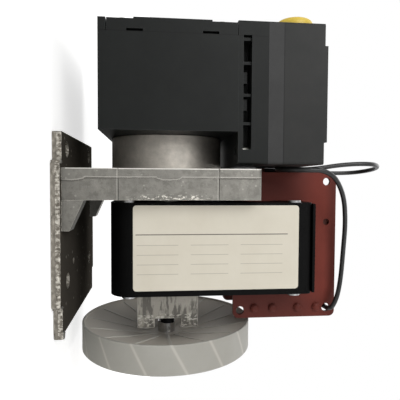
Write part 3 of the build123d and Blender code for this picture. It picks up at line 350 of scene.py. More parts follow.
# %% Flecks: small round cells, of which a share is kept
flecks, given, result = new_group(
    "flecks", ("Scale", FLOAT, 400.0), ("Share", FLOAT, 0.1), ("Size", FLOAT, 0.3)
)
cells = add_node(flecks, "ShaderNodeTexVoronoi", Vector=given["Vector"], Scale=given["Scale"])
inside = add_node(
    flecks, "ShaderNodeMath", cells.outputs["Distance"], given["Size"], operation="LESS_THAN"
)
shade = add_node(flecks, "ShaderNodeSeparateColor", Color=cells.outputs["Color"])
kept = add_node(
    flecks, "ShaderNodeMath", shade.outputs["Red"], given["Share"], operation="LESS_THAN"
)
fleck = add_node(
    flecks, "ShaderNodeMath", inside.outputs[0], kept.outputs[0], operation="MULTIPLY"
)
feed(flecks, result["Mask"], fleck.outputs[0])
print("groups:", [group.name for group in bpy.data.node_groups])

# %% [markdown]
# ## A recipe for finishes
# Nearly all of the pump's finishes are the same idea with other values: two near colours in
# broad patches, a fine grain that moves the colour a little, the roughness more and the
# height most, and edges that are rubbed lighter or darker. The recipe builds that once and
# hands back what a finish needs to add marks of its own.

# %% The recipe


class Finish:
    """A material in the making: its node tree, its shader and the colour so far."""

    def __init__(self, name, metallic=0.0, specular=0.5):
        self.material = bpy.data.materials.new(name)
        self.material.use_nodes = True
        self.tree = self.material.node_tree
        self.shader = self.tree.nodes["Principled BSDF"]
        self.shader.inputs["Metallic"].default_value = metallic
        self.shader.inputs["Specular IOR Level"].default_value = specular
        self.place = self.tree.nodes.new("ShaderNodeTexCoord")
        self.colour = None
        self.height = None

    def group(self, tree, **values):
        """Adds one of the shared effects, read at the piece's own coordinates."""
        made = self.tree.nodes.new("ShaderNodeGroup")
        made.node_tree = tree
        feed(self.tree, made.inputs["Vector"], self.place.outputs["Object"])
        for label, value in values.items():
            feed(self.tree, made.inputs[label.replace("_", "-")], value)
        return made.outputs["Mask"]

    def maths(self, operation, first, second=0.0):
        """Adds a Math node and gives its output."""
        return add_node(self.tree, "ShaderNodeMath", first, second, operation=operation).outputs[0]

    def times(self, first, *others):
        """The product of two or more masks or numbers."""
        product = first
        for other in others:
            product = self.maths("MULTIPLY", product, other)
        return product

    def ramp(self, value, low, high, start=0.0, end=1.0):
        """Goes from start to end while value goes from low to high."""
        made = add_node(
            self.tree, "ShaderNodeMapRange", Value=value,
            From_Min=low, From_Max=high, To_Min=start, To_Max=end,
        )
        return made.outputs["Result"]

    def band(self, value, low, high, soft):
        """A mask that is 1 where value lies between low and high, with soft ends."""
        rise = self.ramp(value, low - soft, low)
        return self.times(rise, self.ramp(value, high + soft, high))

    def axes(self, output="Object"):
        """The three coordinates, or the three parts of the normal, as separate outputs."""
        split = add_node(self.tree, "ShaderNodeSeparateXYZ", Vector=self.place.outputs[output])
        return split.outputs["X"], split.outputs["Y"], split.outputs["Z"]

    def tint(self, mask, share, colour):
        """Lays a share of a screen colour over the colour so far, where the mask says."""
        mix = self.tree.nodes.new("ShaderNodeMix")
        mix.data_type = "RGBA"
        feed(self.tree, mix.inputs[0], mask if share == 1 else self.times(mask, share))
        feed(self.tree, mix.inputs[6], self.colour)
        feed(self.tree, mix.inputs[7], linear(*colour))
        self.colour = mix.outputs[2]

    def raise_by(self, mask, amount):
        """Adds amount, in metres, to the height where the mask is 1."""
        part = self.times(mask, amount)
        self.height = part if self.height is None else self.maths("ADD", self.height, part)

    def close(self, smooth, rough, mask):
        """Joins colour, roughness and bump to the shader and gives the material."""
        inputs = self.shader.inputs
        feed(self.tree, inputs["Base Color"], self.colour)
        feed(self.tree, inputs["Roughness"], self.ramp(mask, 0.0, 1.0, smooth, rough))
        bump = add_node(
            self.tree, "ShaderNodeBump", Strength=1.0, Distance=1.0, Height=self.height
        )
        feed(self.tree, inputs["Normal"], bump.outputs["Normal"])
        return self.material


def start(name, first, second, patch, grain, stretch=(1.0, 1.0, 1.0), metallic=0.0, specular=0.5):
    """Starts a finish with two near colours in patches, and its fine grain."""
    finish = Finish(name, metallic, specular)
    patches = finish.group(fine_grain, Scale=patch)
    finish.colour = linear(*first)
    finish.tint(patches, 1, second)
    return finish, patches, finish.group(fine_grain, Scale=grain, Stretch=stretch)

# %% [markdown]
# ## Cast aluminium
# The foot and the fan's bracket are die cast: a dull grey skin with a fine sandy grain, bright
# where it was trimmed or knocked. It is built up in steps, and each step picks its region by
# height, by place along the shaft, or by the way the face looks.

# %% Cast skin
cast, patches, grain = start(
    "cast_aluminium", (113, 111, 106), (135, 133, 127), 160.0, 2600.0, specular=0.0
)
cast.tint(grain, 0.3, (148, 146, 139))
along_x, along_y, along_z = cast.axes()
_, face_y, face_z = cast.axes("Normal")
faces_front = cast.maths("LESS_THAN", face_y, -0.5)
faces_up = cast.maths("GREATER_THAN", face_z, 0.5)
print("cast skin starts with", len(cast.tree.nodes), "nodes")

# %% [markdown]
# ### The foot's plate
# The inner face of the plate is painted dark as shade, as if little light reached it, with a
# few knocks. Its cut rim is lighter, and the half next to the inner face is a lumpy edge of
# flash, with painted highlights on its crowns and painted shade in its pits. A faint line
# marks where the two halves of the rim meet.

# %% Inner face, rim and flash
# Painted shade: the plate's inner face gets a dark colour, as if little light reached it.
shaded_inner_face = cast.times(cast.band(along_z, 0.0025, 0.0044, 0.0002), faces_up)
cast.tint(shaded_inner_face, 1, (72, 68, 62))
rim = cast.times(cast.band(along_z, -0.001, 0.0041, 0.0001), faces_front)
cast.tint(rim, 1, (142, 137, 128))
lumps = cast.group(fine_grain, Scale=900.0, Stretch=(1.0, 1.0, 0.5))
flash_edge = cast.times(rim, cast.band(along_z, 0.0021, 0.0046, 0.0003))
cast.tint(flash_edge, 0.7, (172, 167, 157))
# Painted highlights on the tops of the lumps, and painted shade in their pits.
painted_crown_highlights = cast.times(flash_edge, cast.maths("GREATER_THAN", lumps, 0.6))
cast.tint(painted_crown_highlights, 0.55, (216, 212, 202))
pits_with_painted_shade = cast.times(flash_edge, cast.maths("LESS_THAN", lumps, 0.41))
cast.tint(pits_with_painted_shade, 0.6, (88, 80, 71))
rim_mark = cast.times(rim, cast.band(along_z, 0.0018, 0.0020, 0.0001))
cast.tint(rim_mark, 0.5, (96, 91, 83))
knocks = cast.group(flecks, Scale=420.0, Share=0.05, Size=0.3)
cast.tint(cast.times(shaded_inner_face, knocks), 1, (120, 116, 108))

# %% [markdown]
# ### The upright's narrow side
# Its lower edge is rough from trimming. The die's parting line runs along it and bends round
# two bosses, which half circles in a square root give. Two grooves cross it as dark lines of
# painted shade, and a painted highlight runs beside each line and along the top edge, as if a
# raised edge caught the light.

# %% Trimmed edge and stains
trim_line = cast.band(along_x, -0.0092, -0.0074, 0.0012)
trimmed = cast.maths(
    "GREATER_THAN", cast.group(fine_grain, Scale=900.0, Stretch=(1.0, 1.0, 0.6)), 0.6
)
rough_trim = cast.times(trimmed, trim_line, cast.band(along_z, 0.042, 0.062, 0.012))
cast.tint(rough_trim, 1, (214, 210, 200))
narrow_side = cast.times(faces_front, cast.band(along_z, 0.006, 0.0955, 0.0005))
stains = cast.ramp(cast.group(fine_grain, Scale=360.0), 0.5, 0.68)
cast.tint(cast.times(stains, narrow_side), 0.26, (84, 82, 77))
nicks = cast.group(flecks, Scale=620.0, Share=0.12, Size=0.3)
cast.tint(cast.times(nicks, narrow_side), 0.2, (206, 203, 195))

# %% Parting line and grooves
arch_reach, arch_rise = 0.0056, 0.00129
sweep = along_x
for arch_middle in (0.0083, shaft_height):
    offset = cast.maths("DIVIDE", cast.maths("SUBTRACT", along_z, arch_middle), arch_reach)
    arch = cast.maths("SUBTRACT", 1.0, cast.times(offset, offset))
    arch = cast.maths("SQRT", cast.maths("MAXIMUM", arch, 0.0))
    sweep = cast.maths("SUBTRACT", sweep, cast.times(arch, arch_rise))
parting = cast.times(narrow_side, cast.band(sweep, -0.01795, -0.01765, 0.00008))
cast.tint(parting, 0.75, (52, 50, 47))
# Painted highlight beside the parting line.
parting_highlight = cast.times(narrow_side, cast.band(sweep, -0.01835, -0.0181, 0.0001))
cast.tint(parting_highlight, 0.5, (190, 187, 180))
# Painted highlight along the upright's top edge.
top_edge_highlight = cast.times(narrow_side, cast.band(along_x, -0.0223, -0.0217, 0.0001))
cast.tint(top_edge_highlight, 0.75, (222, 220, 214))
for groove_z in (0.0286, 0.0742):
    # Painted shade in each groove, and a painted highlight just beside it.
    groove_shade = cast.band(along_z, groove_z - 0.00012, groove_z + 0.00018, 0.00006)
    cast.tint(cast.times(narrow_side, groove_shade), 0.85, (34, 33, 31))
    groove_highlight = cast.band(along_z, groove_z - 0.0006, groove_z - 0.0003, 0.0001)
    cast.tint(cast.times(narrow_side, groove_highlight), 0.5, (186, 183, 176))

# %% [markdown]
# ### The fan bracket's legs
# The legs were drawn out of the die with long streaks along the shaft, and their free ends
# are chipped. Last come the rubbed edges, the heights and the bare metal, which stops at the
# inner face that is painted dark as shade.

# %% Legs, edges, and the finished cast material
legs = cast.times(
    cast.maths("GREATER_THAN", along_x, 0.0405), cast.band(along_z, 0.015, 0.09, 0.001)
)
streaks = cast.ramp(cast.group(fine_grain, Scale=420.0, Stretch=(0.22, 1.0, 1.0)), 0.4, 0.62)
cast.tint(legs, 0.8, (92, 89, 84))
cast.tint(cast.times(legs, streaks), 0.5, (178, 174, 164))
leg_end = cast.times(legs, cast.band(along_x, 0.0505, 0.06, 0.0012), trimmed)
cast.tint(leg_end, 0.45, (214, 211, 202))
rubbed = cast.group(worn_edges, Width=0.0004, Break_up=0.45)
cast.tint(cast.times(rubbed, cast.maths("SUBTRACT", 0.75, shaded_inner_face)), 1, (196, 192, 184))
cast.raise_by(grain, 0.00004)
cast.raise_by(patches, 0.00008)
cast.raise_by(rough_trim, 0.0002)
cast.raise_by(pits_with_painted_shade, -0.0002)
# The metal is bare everywhere but on the inner face that is painted dark as shade.
bare_metal = cast.maths("SUBTRACT", 0.8, cast.times(shaded_inner_face, 0.8))
feed(cast.tree, cast.shader.inputs["Metallic"], bare_metal)
cast_aluminium = cast.close(0.42, 0.62, grain)
print("cast aluminium has", len(cast.tree.nodes), "nodes")

# %% [markdown]
# ## Simple finishes
# Fifteen finishes need nothing but the recipe: patches, grain, and edges of another tone.
# Three of them, for the dark mouldings, also have thin darker lines across them as seams.

# %% Simple finishes made by the recipe
seam_soft = 0.00004


def plain_finish(
    name, first, second, patch, grain, rough, bump, edge, edge_share, seams=(), **kind
):
    """A finish of patches, grain, edges of another tone, and dark seams between two places."""
    finish, _, fine = start(name, first, second, patch, grain, **kind)
    finish.tint(finish.group(worn_edges, Width=0.0004, Break_up=0.35), edge_share, edge)
    for axis, low, high in seams:
        seam = finish.band(finish.axes()["XYZ".index(axis)], low, high, seam_soft)
        finish.tint(seam, 0.9, (6, 6, 6))
    finish.raise_by(fine, bump)
    return finish.close(*rough, fine)


black_plastic = plain_finish(
    "black_plastic", (15, 17, 16), (22, 24, 23), patch=60.0, grain=3500.0,
    rough=(0.42, 0.58), bump=0.000012, edge=(62, 64, 63), edge_share=0.5,
    seams=(("X", -0.08288, -0.08252), ("Z", 0.09688, 0.0972)), specular=0.17,
)
head_plastic = plain_finish(
    "head_plastic", (29, 30, 29), (37, 37, 36), patch=70.0, grain=3500.0,
    rough=(0.42, 0.6), bump=0.000012, edge=(82, 82, 81), edge_share=0.5,
    seams=(("Z", 0.1042, 0.10452),), specular=0.22,
)
plate_plastic = plain_finish(
    "plate_plastic", (42, 42, 42), (52, 52, 52), patch=70.0, grain=3500.0,
    rough=(0.42, 0.6), bump=0.000012, edge=(90, 90, 89), edge_share=0.5,
    seams=(("Z", 0.1041, 0.1044),), specular=0.22,
)
turned_aluminium = plain_finish(
    "turned_aluminium", (172, 167, 159), (194, 188, 179), patch=260.0, grain=1500.0,
    rough=(0.46, 0.62), bump=0.00003, edge=(196, 192, 184), edge_share=0.7,
    stretch=(2.0, 0.5, 0.5), metallic=0.85,
)
cap_plastic = plain_finish(
    "cap_plastic", (216, 186, 66), (228, 198, 78), patch=90.0, grain=2500.0,
    rough=(0.35, 0.5), bump=0.00001, edge=(240, 214, 110), edge_share=0.5,
)
black_rubber = plain_finish(
    "black_rubber", (26, 26, 26), (34, 34, 33), patch=90.0, grain=2500.0,
    rough=(0.6, 0.8), bump=0.00002, edge=(50, 50, 50), edge_share=0.4, specular=0.2,
)
coil_tape = plain_finish(
    "coil_tape", (78, 40, 32), (96, 52, 42), patch=80.0, grain=900.0,
    rough=(0.4, 0.6), bump=0.00006, edge=(110, 66, 54), edge_share=0.4,
    stretch=(0.3, 4.0, 0.3), specular=0.3,
)
machined_steel = plain_finish(
    "machined_steel", (150, 150, 152), (170, 170, 170), patch=90.0, grain=2200.0,
    rough=(0.22, 0.38), bump=0.00001, edge=(210, 210, 210), edge_share=0.6,
    stretch=(4.0, 0.3, 0.3), metallic=1.0,
)
rotor_steel = plain_finish(
    "rotor_steel", (110, 110, 112), (130, 129, 128), patch=120.0, grain=1800.0,
    rough=(0.3, 0.5), bump=0.00002, edge=(170, 170, 170), edge_share=0.5,
    stretch=(6.0, 0.3, 0.3), metallic=1.0,
)
zinc_plate = plain_finish(
    "zinc_plate", (168, 168, 162), (186, 185, 176), patch=200.0, grain=2600.0,
    rough=(0.3, 0.45), bump=0.00001, edge=(215, 215, 208), edge_share=0.6, metallic=1.0,
)
bare_copper = plain_finish(
    "bare_copper", (176, 106, 74), (196, 124, 88), patch=160.0, grain=2000.0,
    rough=(0.25, 0.4), bump=0.00001, edge=(220, 150, 112), edge_share=0.5, metallic=1.0,
)
sintered_bronze = plain_finish(
    "sintered_bronze", (148, 116, 68), (168, 134, 84), patch=200.0, grain=3200.0,
    rough=(0.4, 0.6), bump=0.00003, edge=(190, 158, 104), edge_share=0.5, metallic=1.0,
)
bright_spring = plain_finish(
    "bright_spring", (196, 196, 198), (214, 214, 214), patch=150.0, grain=2500.0,
    rough=(0.12, 0.25), bump=0.000005, edge=(235, 235, 235), edge_share=0.5, metallic=1.0,
)
reed_steel = plain_finish(
    "reed_steel", (160, 160, 164), (178, 178, 180), patch=150.0, grain=2500.0,
    rough=(0.2, 0.32), bump=0.000005, edge=(205, 205, 205), edge_share=0.5,
    stretch=(0.3, 4.0, 1.0), metallic=1.0,
)
lead_insulation = plain_finish(
    "lead_insulation", (20, 20, 20), (28, 28, 28), patch=90.0, grain=1500.0,
    rough=(0.3, 0.42), bump=0.00001, edge=(40, 40, 40), edge_share=0.3, specular=0.4,
)
print("materials so far:", len(bpy.data.materials))

# %% [markdown]
# ## Red moulding
# The bobbin is moulded in an oxide red. Painted shade darkens it at its rim, low on the flange
# towards the stack, and towards the fan: soft ramps along the coil and along the shaft give
# that shade, over the same patches and grain as the other plastics.

# %% Red moulding
moulding, _, grain = start(
    "red_plastic", (104, 42, 33), (116, 50, 39), 55.0, 2800.0, specular=0.18
)
along_x, _, along_z = moulding.axes()
# Painted shade: darker at the rim, low on the flange towards the stack, and towards the fan.
painted_shade_at_rim = moulding.ramp(along_z, 0.1350, 0.1392)
painted_shade_near_stack = moulding.ramp(along_z, 0.1300, 0.1225)
painted_shade_towards_fan = moulding.ramp(along_x, 0.0400, 0.0480)
moulding.tint(painted_shade_at_rim, 0.6, (60, 22, 16))
moulding.tint(painted_shade_near_stack, 0.4, (62, 24, 19))
moulding.tint(painted_shade_towards_fan, 0.4, (64, 26, 20))
moulding.tint(moulding.group(worn_edges, Width=0.0005, Break_up=0.3), 0.5, (120, 62, 50))
moulding.raise_by(grain, 0.000015)
red_plastic = moulding.close(0.42, 0.6, grain)

# %% [markdown]
# ## Varnished stack
# The motor's core is a pile of punched sheets about half a millimetre thick, dipped in black
# varnish. The sheets show as fine lines round the sides of the stack, which a wave along
# the shaft gives in height and a little in colour.

# %% Varnished stack
sheet_thick = 0.0005
stack, _, grain = start("varnished_stack", (1, 1, 1), (3, 3, 3), 120.0, 1800.0, specular=0.06)
sheet = stack.maths("SINE", stack.times(stack.axes()[0], 2 * math.pi / sheet_thick))
stack.tint(stack.maths("GREATER_THAN", sheet, 0.55), 0.3, (11, 11, 12))
stack.tint(stack.group(worn_edges, Width=0.0005, Break_up=0.5), 0.4, (40, 40, 41))
stack.raise_by(sheet, 0.00003)
stack.raise_by(grain, 0.00002)
varnished_stack = stack.close(0.35, 0.6, grain)

# %% [markdown]
# ## Label film
# The rating plate is a satin film, warm off-white. It stays blank but for plain rule lines: one
# across the plate under its head, and short thin ones where entries would be written.

# %% Label film
film, _, grain = start(
    "label_film", (206, 199, 183), (214, 208, 193), 40.0, 2600.0, specular=0.4
)
along_x, _, along_z = film.axes()


def rule(place_x, thick, from_z, to_z):
    """The mask of a thin line on the label, between two heights."""
    across = film.band(along_x, place_x, place_x + thick, 0.00005)
    return film.times(across, film.band(along_z, from_z, to_z, 0.0001))


first_row, row_step = 0.0138, 0.0046
entry_spans = ((0.0365, 0.0560), (0.0620, 0.0800), (0.0860, 0.1065))
film.tint(rule(0.0087, 0.0004, 0.036, 0.109), 0.85, (60, 54, 50))
for row in range(4):
    for from_z, to_z in entry_spans:
        entry = rule(first_row + row_step * row, 0.00022, from_z, to_z)
        film.tint(entry, 0.5, (128, 121, 112))
film.raise_by(grain, 0.000006)
label_film = film.close(0.38, 0.5, grain)

# %% [markdown]
# ## Fan plastic
# The fan is a natural, unfilled moulding: whitish, and a little light comes through it, which
# a small share of transmission gives. Its blades show as paler lines. A line's place comes
# from the angle about the shaft, counted in blades: the lines run straight out on the cone,
# and lean along the ring about as much as the blades do.

# %% Fan plastic
blade_share = 2 * math.pi / blade_total
first_blade = 0.4375
lean_per_metre = 27.73
ring_inside = 0.0448
line_half, line_soft = 0.00045, 0.0005
fan, _, grain = start(
    "fan_plastic", (168, 163, 153), (178, 174, 165), 60.0, 1600.0, specular=0.4
)
along_x, along_y, along_z = fan.axes()
above = fan.maths("SUBTRACT", along_z, shaft_height)
radius = fan.maths(
    "SQRT", fan.maths("ADD", fan.times(above, above), fan.times(along_y, along_y))
)
on_ring = fan.maths("GREATER_THAN", radius, ring_inside)
counted = fan.maths("DIVIDE", fan.maths("ARCTAN2", above, along_y), blade_share)
lean = fan.times(fan.maths("SUBTRACT", along_x, fan_front), lean_per_metre)
phase = fan.maths("ADD", fan.maths("SUBTRACT", counted, first_blade), fan.times(lean, on_ring))
half_on = fan.maths("FRACT", fan.maths("ADD", phase, 0.5))
from_line = fan.maths("ABSOLUTE", fan.maths("SUBTRACT", half_on, 0.5))
reach = fan.times(from_line, blade_share, radius)
blade_line = fan.band(reach, -1.0, line_half, line_soft)
between = fan.times(on_ring, fan.band(fan.maths("FRACT", phase), 0.1, 0.9, 0.1))
fan.tint(fan.maths("SUBTRACT", 1.0, on_ring), 0.75, (205, 197, 184))
fan.tint(blade_line, 0.45, (205, 203, 196))
fan.tint(between, 0.3, (150, 154, 152))
fan.tint(fan.group(worn_edges, Width=0.0005, Break_up=0.2), 0.5, (215, 214, 208))
fan.raise_by(grain, 0.00001)
feed(fan.tree, fan.shader.inputs["Transmission Weight"], 0.06)
feed(fan.tree, fan.shader.inputs["IOR"], 1.35)
fan_plastic = fan.close(0.38, 0.52, grain)
print("fan plastic has", len(fan.tree.nodes), "nodes")

# %% [markdown]
# ## Give every solid its finish
# The table names the solids of each finish. A solid's slots are linked to the object, so its
# mesh stays as it was packed.

# %% Give every solid its finish
solids_of = [
    (cast_aluminium, "foot_bracket fan_side_bracket"),
    (turned_aluminium, "spigot connecting_rod clamp_disc"),
    (machined_steel, "pump_side_bearing rod_bearing eccentric motor_shaft stack_rivets"),
    (rotor_steel, "rotor"),
    (sintered_bronze, "fan_side_bush"),
    (black_plastic, "crankcase_housing crankcase_cover"),
    (plate_plastic, "intermediate_plate"),
    (head_plastic, "head_cover"),
    (black_rubber, "head_seal diaphragm"),
    (reed_steel, "inlet_reed outlet_reed"),
    (cap_plastic, "inlet_cap outlet_cap"),
    (varnished_stack, "stator_core stator_screws"),
    (bare_copper, "shading_rings"),
    (red_plastic, "coil_bobbin"),
    (coil_tape, "coil_winding"),
    (label_film, "rating_label"),
    (fan_plastic, "fan_wheel"),
    (bright_spring, "fan_clamp"),
    (zinc_plate, "head_screws cover_screws frame_screws clamp_screw"),
    (lead_insulation, "motor_lead"),
]
finish_of = {name: finish for finish, names in solids_of for name in names.split()}
for name, solid in frame["nodes"].items():
    if not solid.material_slots:
        solid.data.materials.append(finish_of[name])
    for slot in solid.material_slots:
        slot.link = "OBJECT"
        slot.material = finish_of[name]
coil_lead.data.materials.append(lead_insulation)
print("solids with a finish:", len(finish_of))

# %% [markdown]
# ## Helpers for new pieces
# New pieces are shaped as by hand: a primitive is added, opened in edit mode and worked with
# the mesh operators. An operator acts on all that is selected, so the helpers first clear
# the selection, and then pick vertices by their place or edges by the way they run. Edges
# are picked in edge mode, since vertex mode would also select those between picked points.

# %% Helpers for new pieces


def alone(piece):
    """Selects one piece and nothing else."""
    bpy.ops.object.select_all(action="DESELECT")
    piece.select_set(True)
    bpy.context.view_layer.objects.active = piece


def edit(piece):
    """Opens one piece in edit mode."""
    alone(piece)
    bpy.ops.object.mode_set(mode="EDIT")


def pick(piece, test):
    """Selects the vertices whose place passes a test, in edit mode."""
    bpy.ops.mesh.select_mode(type="VERT")
    bpy.ops.mesh.select_all(action="DESELECT")
    bpy.ops.object.mode_set(mode="OBJECT")
    for vertex in piece.data.vertices:
        vertex.select = test(vertex.co)
    bpy.ops.object.mode_set(mode="EDIT")


def pick_edges(piece, axis, least):
    """Selects the edges that run along an axis for more than a length, in edit mode."""
    bpy.ops.mesh.select_mode(type="EDGE")
    bpy.ops.mesh.select_all(action="DESELECT")
    bpy.ops.object.mode_set(mode="OBJECT")
    for edge in piece.data.edges:
        first, last = (piece.data.vertices[index].co for index in edge.vertices)
        edge.select = abs(first[axis] - last[axis]) > least
    bpy.ops.object.mode_set(mode="EDIT")


def copy_of(piece, place):
    """Copies a piece with a mesh of its own, and puts the copy at a matrix."""
    copied = piece.copy()
    copied.data = piece.data.copy()
    copied.matrix_world = place
    bpy.context.scene.collection.objects.link(copied)
    return copied


def join_all(piece, others):
    """Joins other pieces into one."""
    bpy.context.view_layer.update()
    alone(piece)
    for other in others:
        other.select_set(True)
    bpy.ops.object.join()


def block(name, low, high):
    """Adds a cube, brings it to a box between two corners and opens it in edit mode."""
    bpy.ops.object.select_all(action="DESELECT")
    centre = (Vector(low) + Vector(high)) / 2
    bpy.ops.mesh.primitive_cube_add(size=1.0, location=centre)
    piece = bpy.context.object
    piece.name = name
    piece.scale = Vector(high) - Vector(low)
    bpy.ops.object.transform_apply(location=True, rotation=True, scale=True)
    edit(piece)
    return piece


def dress(piece, body, finish, smooth=35):
    """Applies what is left to apply, cleans the mesh, gives the finish and lets it ride."""
    if bpy.context.mode != "OBJECT":
        bpy.ops.object.mode_set(mode="OBJECT")
    alone(piece)
    for modifier in list(piece.modifiers):
        bpy.ops.object.modifier_apply(modifier=modifier.name)
    bpy.ops.object.transform_apply(location=True, rotation=True, scale=True)
    edit(piece)
    bpy.ops.mesh.select_all(action="SELECT")
    bpy.ops.mesh.remove_doubles(threshold=0.000002)
    bpy.ops.mesh.normals_make_consistent(inside=False)
    bpy.ops.object.mode_set(mode="OBJECT")
    bpy.ops.object.shade_smooth_by_angle(angle=math.radians(smooth))
    piece.data.materials.append(finish)
    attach(piece, body)
    print(piece.name, "has", len(piece.data.polygons), "faces")


# %% [markdown]
# ## Fan wheel
# The fan is one moulding: a hub with a sleeve, a shallow cone that closes the side
# towards the motor, a ring, and leaning blades between them. All but the blades is round, so
# one outline is drawn from a single vertex by extruding it step by step, and spun about the
# shaft. The outline's points are places behind the fan's front and radii. One blade is
# made from a block, and copied round.

# %% Fan outline and spin
cone_front = [
    (0.0082, 0.0086), (0.0066, 0.0170), (0.0044, 0.0280), (0.0022, 0.0375), (0.0012, 0.0424),
]
fan_outline = [(0.0021, 0.00307), (0.0021, 0.0041), (0.0082, 0.0041)] + cone_front + [
    (0.0007, 0.0441), (0.0002, 0.0444), (0.0, 0.0447), (0.0, 0.0455), (0.0003, 0.0458),
    (0.0072, 0.04575), (0.0142, 0.0458), (0.0145, 0.0455), (0.0145, 0.0445), (0.0142, 0.0442),
    (0.0026, 0.0442), (0.0025, 0.0424), (0.0035, 0.0375), (0.0057, 0.0280), (0.0079, 0.0170),
    (0.0095, 0.0092), (0.0142, 0.0090), (0.0145, 0.0087), (0.0145, 0.0033), (0.0142, 0.00307),
]
spin_steps = 120
bpy.ops.object.select_all(action="DESELECT")
bpy.ops.mesh.primitive_plane_add(size=0.001, location=(0, 0, 0))
fan_moulding = bpy.context.object
fan_moulding.name = "fan_moulding"
edit(fan_moulding)
bpy.ops.mesh.select_all(action="SELECT")
bpy.ops.mesh.merge(type="CENTER")
first_x, first_r = fan_outline[0]
bpy.ops.transform.translate(value=(fan_front + first_x, 0, shaft_height + first_r))
for (from_x, from_r), (to_x, to_r) in zip(fan_outline, fan_outline[1:] + fan_outline[:1]):
    step = (to_x - from_x, 0, to_r - from_r)
    bpy.ops.mesh.extrude_vertices_move(TRANSFORM_OT_translate={"value": step})
bpy.ops.mesh.select_all(action="SELECT")
bpy.ops.mesh.remove_doubles(threshold=0.000002)
bpy.ops.mesh.select_all(action="SELECT")
bpy.ops.mesh.spin(
    steps=spin_steps, angle=2 * math.pi, center=(0, 0, shaft_height), axis=(1, 0, 0)
)
bpy.ops.mesh.select_all(action="SELECT")
bpy.ops.mesh.remove_doubles(threshold=0.00001)
bpy.ops.object.mode_set(mode="OBJECT")
print("fan's round body:", len(fan_moulding.data.polygons), "faces")

# %% One blade, then all of them
blade_thick = 0.0011
blade_drift = 0.0077
blade_bow = 0.0015
blade_sink = 0.00025
front_inset, rear_inset = 0.001, 0.0004
near = 0.0001
first_turn = math.radians(-1.5)
blade_low = (fan_front + front_inset, -0.0443, shaft_height - blade_thick / 2)
blade_high = (fan_rear - rear_inset, -0.0088, shaft_height + blade_thick / 2)
blade = block("fan_blade", blade_low, blade_high)
pick_edges(blade, 1, 0.01)
bpy.ops.mesh.subdivide(number_cuts=11)


def cone_place(radius):
    """How far behind the ring's front the cone's face lies at a radius."""
    for (near_x, near_r), (far_x, far_r) in zip(cone_front, cone_front[1:]):
        if radius <= far_r:
            return near_x + (far_x - near_x) * (radius - near_r) / (far_r - near_r)
    return cone_front[-1][0]


bpy.ops.object.mode_set(mode="OBJECT")
stations = sorted({round(-vertex.co.y, 6) for vertex in blade.data.vertices})
inner_end, outer_end = stations[0], stations[-1]
fan_depth = fan_rear - fan_front
front_edge, rear_edge = fan_front + front_inset + near, fan_rear - rear_inset - near
bpy.ops.object.mode_set(mode="EDIT")
for radius in stations:
    pick(blade, lambda place: abs(place.y + radius) < 0.00001 and place.x < front_edge)
    bpy.ops.transform.translate(value=(cone_place(radius) - blade_sink - front_inset, 0, 0))
    pick(blade, lambda place: abs(place.y + radius) < 0.00001 and place.x > rear_edge)
    bow = blade_bow * math.sin(math.pi * (radius - inner_end) / (outer_end - inner_end))
    drift = blade_drift * (fan_depth - cone_place(radius)) / fan_depth
    bpy.ops.transform.translate(value=(0, 0, drift + bow))
bpy.ops.object.mode_set(mode="OBJECT")
about_shaft = Matrix.Translation((0, 0, shaft_height))
blade.data.transform(about_shaft @ Matrix.Rotation(first_turn, 4, "X") @ about_shaft.inverted())
blades = [blade]
for number in range(1, blade_total):
    turned = Matrix.Rotation(2 * math.pi * number / blade_total, 4, "X")
    blades.append(copy_of(blade, about_shaft @ turned @ about_shaft.inverted()))
join_all(fan_moulding, blades)
dress(fan_moulding, "rotating_group", fan_plastic)
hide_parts("fan_wheel")

# %% [markdown]
# ## Pegs on the coil's flange
# Four round pegs stand on the flange towards the fan, where the halves of the bobbin are
# riveted over. Their heads are domed, so each is a short cylinder whose outer end is lifted
# and drawn in three times. One is shaped and the others are copies.

# %% Domed pegs
peg_radius, peg_depth, peg_sink = 0.0019, 0.0007, 0.0001
peg_inset = 0.00517
coil_height = coil_high[2] - coil_low[2]
peg_x, peg_y = coil_high[0] - peg_inset, coil_low[1]
peg_heights = [coil_low[2] + share * coil_height for share in (0.206, 0.383, 0.63, 0.815)]
peg_middle = (peg_x, peg_y, peg_heights[0])
bpy.ops.object.select_all(action="DESELECT")
bpy.ops.mesh.primitive_cylinder_add(
    vertices=28, radius=peg_radius, depth=peg_depth,
    location=(peg_x, peg_y - peg_sink, peg_heights[0]), rotation=(math.pi / 2, 0, 0),
)
peg = bpy.context.object
peg.name = "flange_pegs"
bpy.ops.object.transform_apply(location=True, rotation=True, scale=True)
edit(peg)
for share, lift in ((0.82, 0.00028), (0.66, 0.00016), (0.5, 0.00006)):
    front = min(vertex.co.y for vertex in peg.data.vertices)
    pick(peg, lambda place: place.y < front + 0.00001)
    bpy.ops.mesh.extrude_region_move(TRANSFORM_OT_translate={"value": (0, -lift, 0)})
    bpy.ops.transform.resize(value=(share, 1, share), center_override=peg_middle)
    # Leaving edit mode writes the new vertices, so the next step finds the new front.
    bpy.ops.object.mode_set(mode="OBJECT")
    bpy.ops.object.mode_set(mode="EDIT")
bpy.ops.object.mode_set(mode="OBJECT")
lifts = [height - peg_heights[0] for height in peg_heights[1:]]
join_all(peg, [copy_of(peg, Matrix.Translation((0, 0, lift))) for lift in lifts])
dress(peg, "pump_body", red_plastic, smooth=50)

# %% [markdown]
# ## Strips on the stack's end
# Two black insulating strips cover the stack's end towards the coil, in front of and behind
# the flanges. Each is a block with rounded long edges, and shallow ribs where the sheets
# press through, made by moving every other row of vertices.

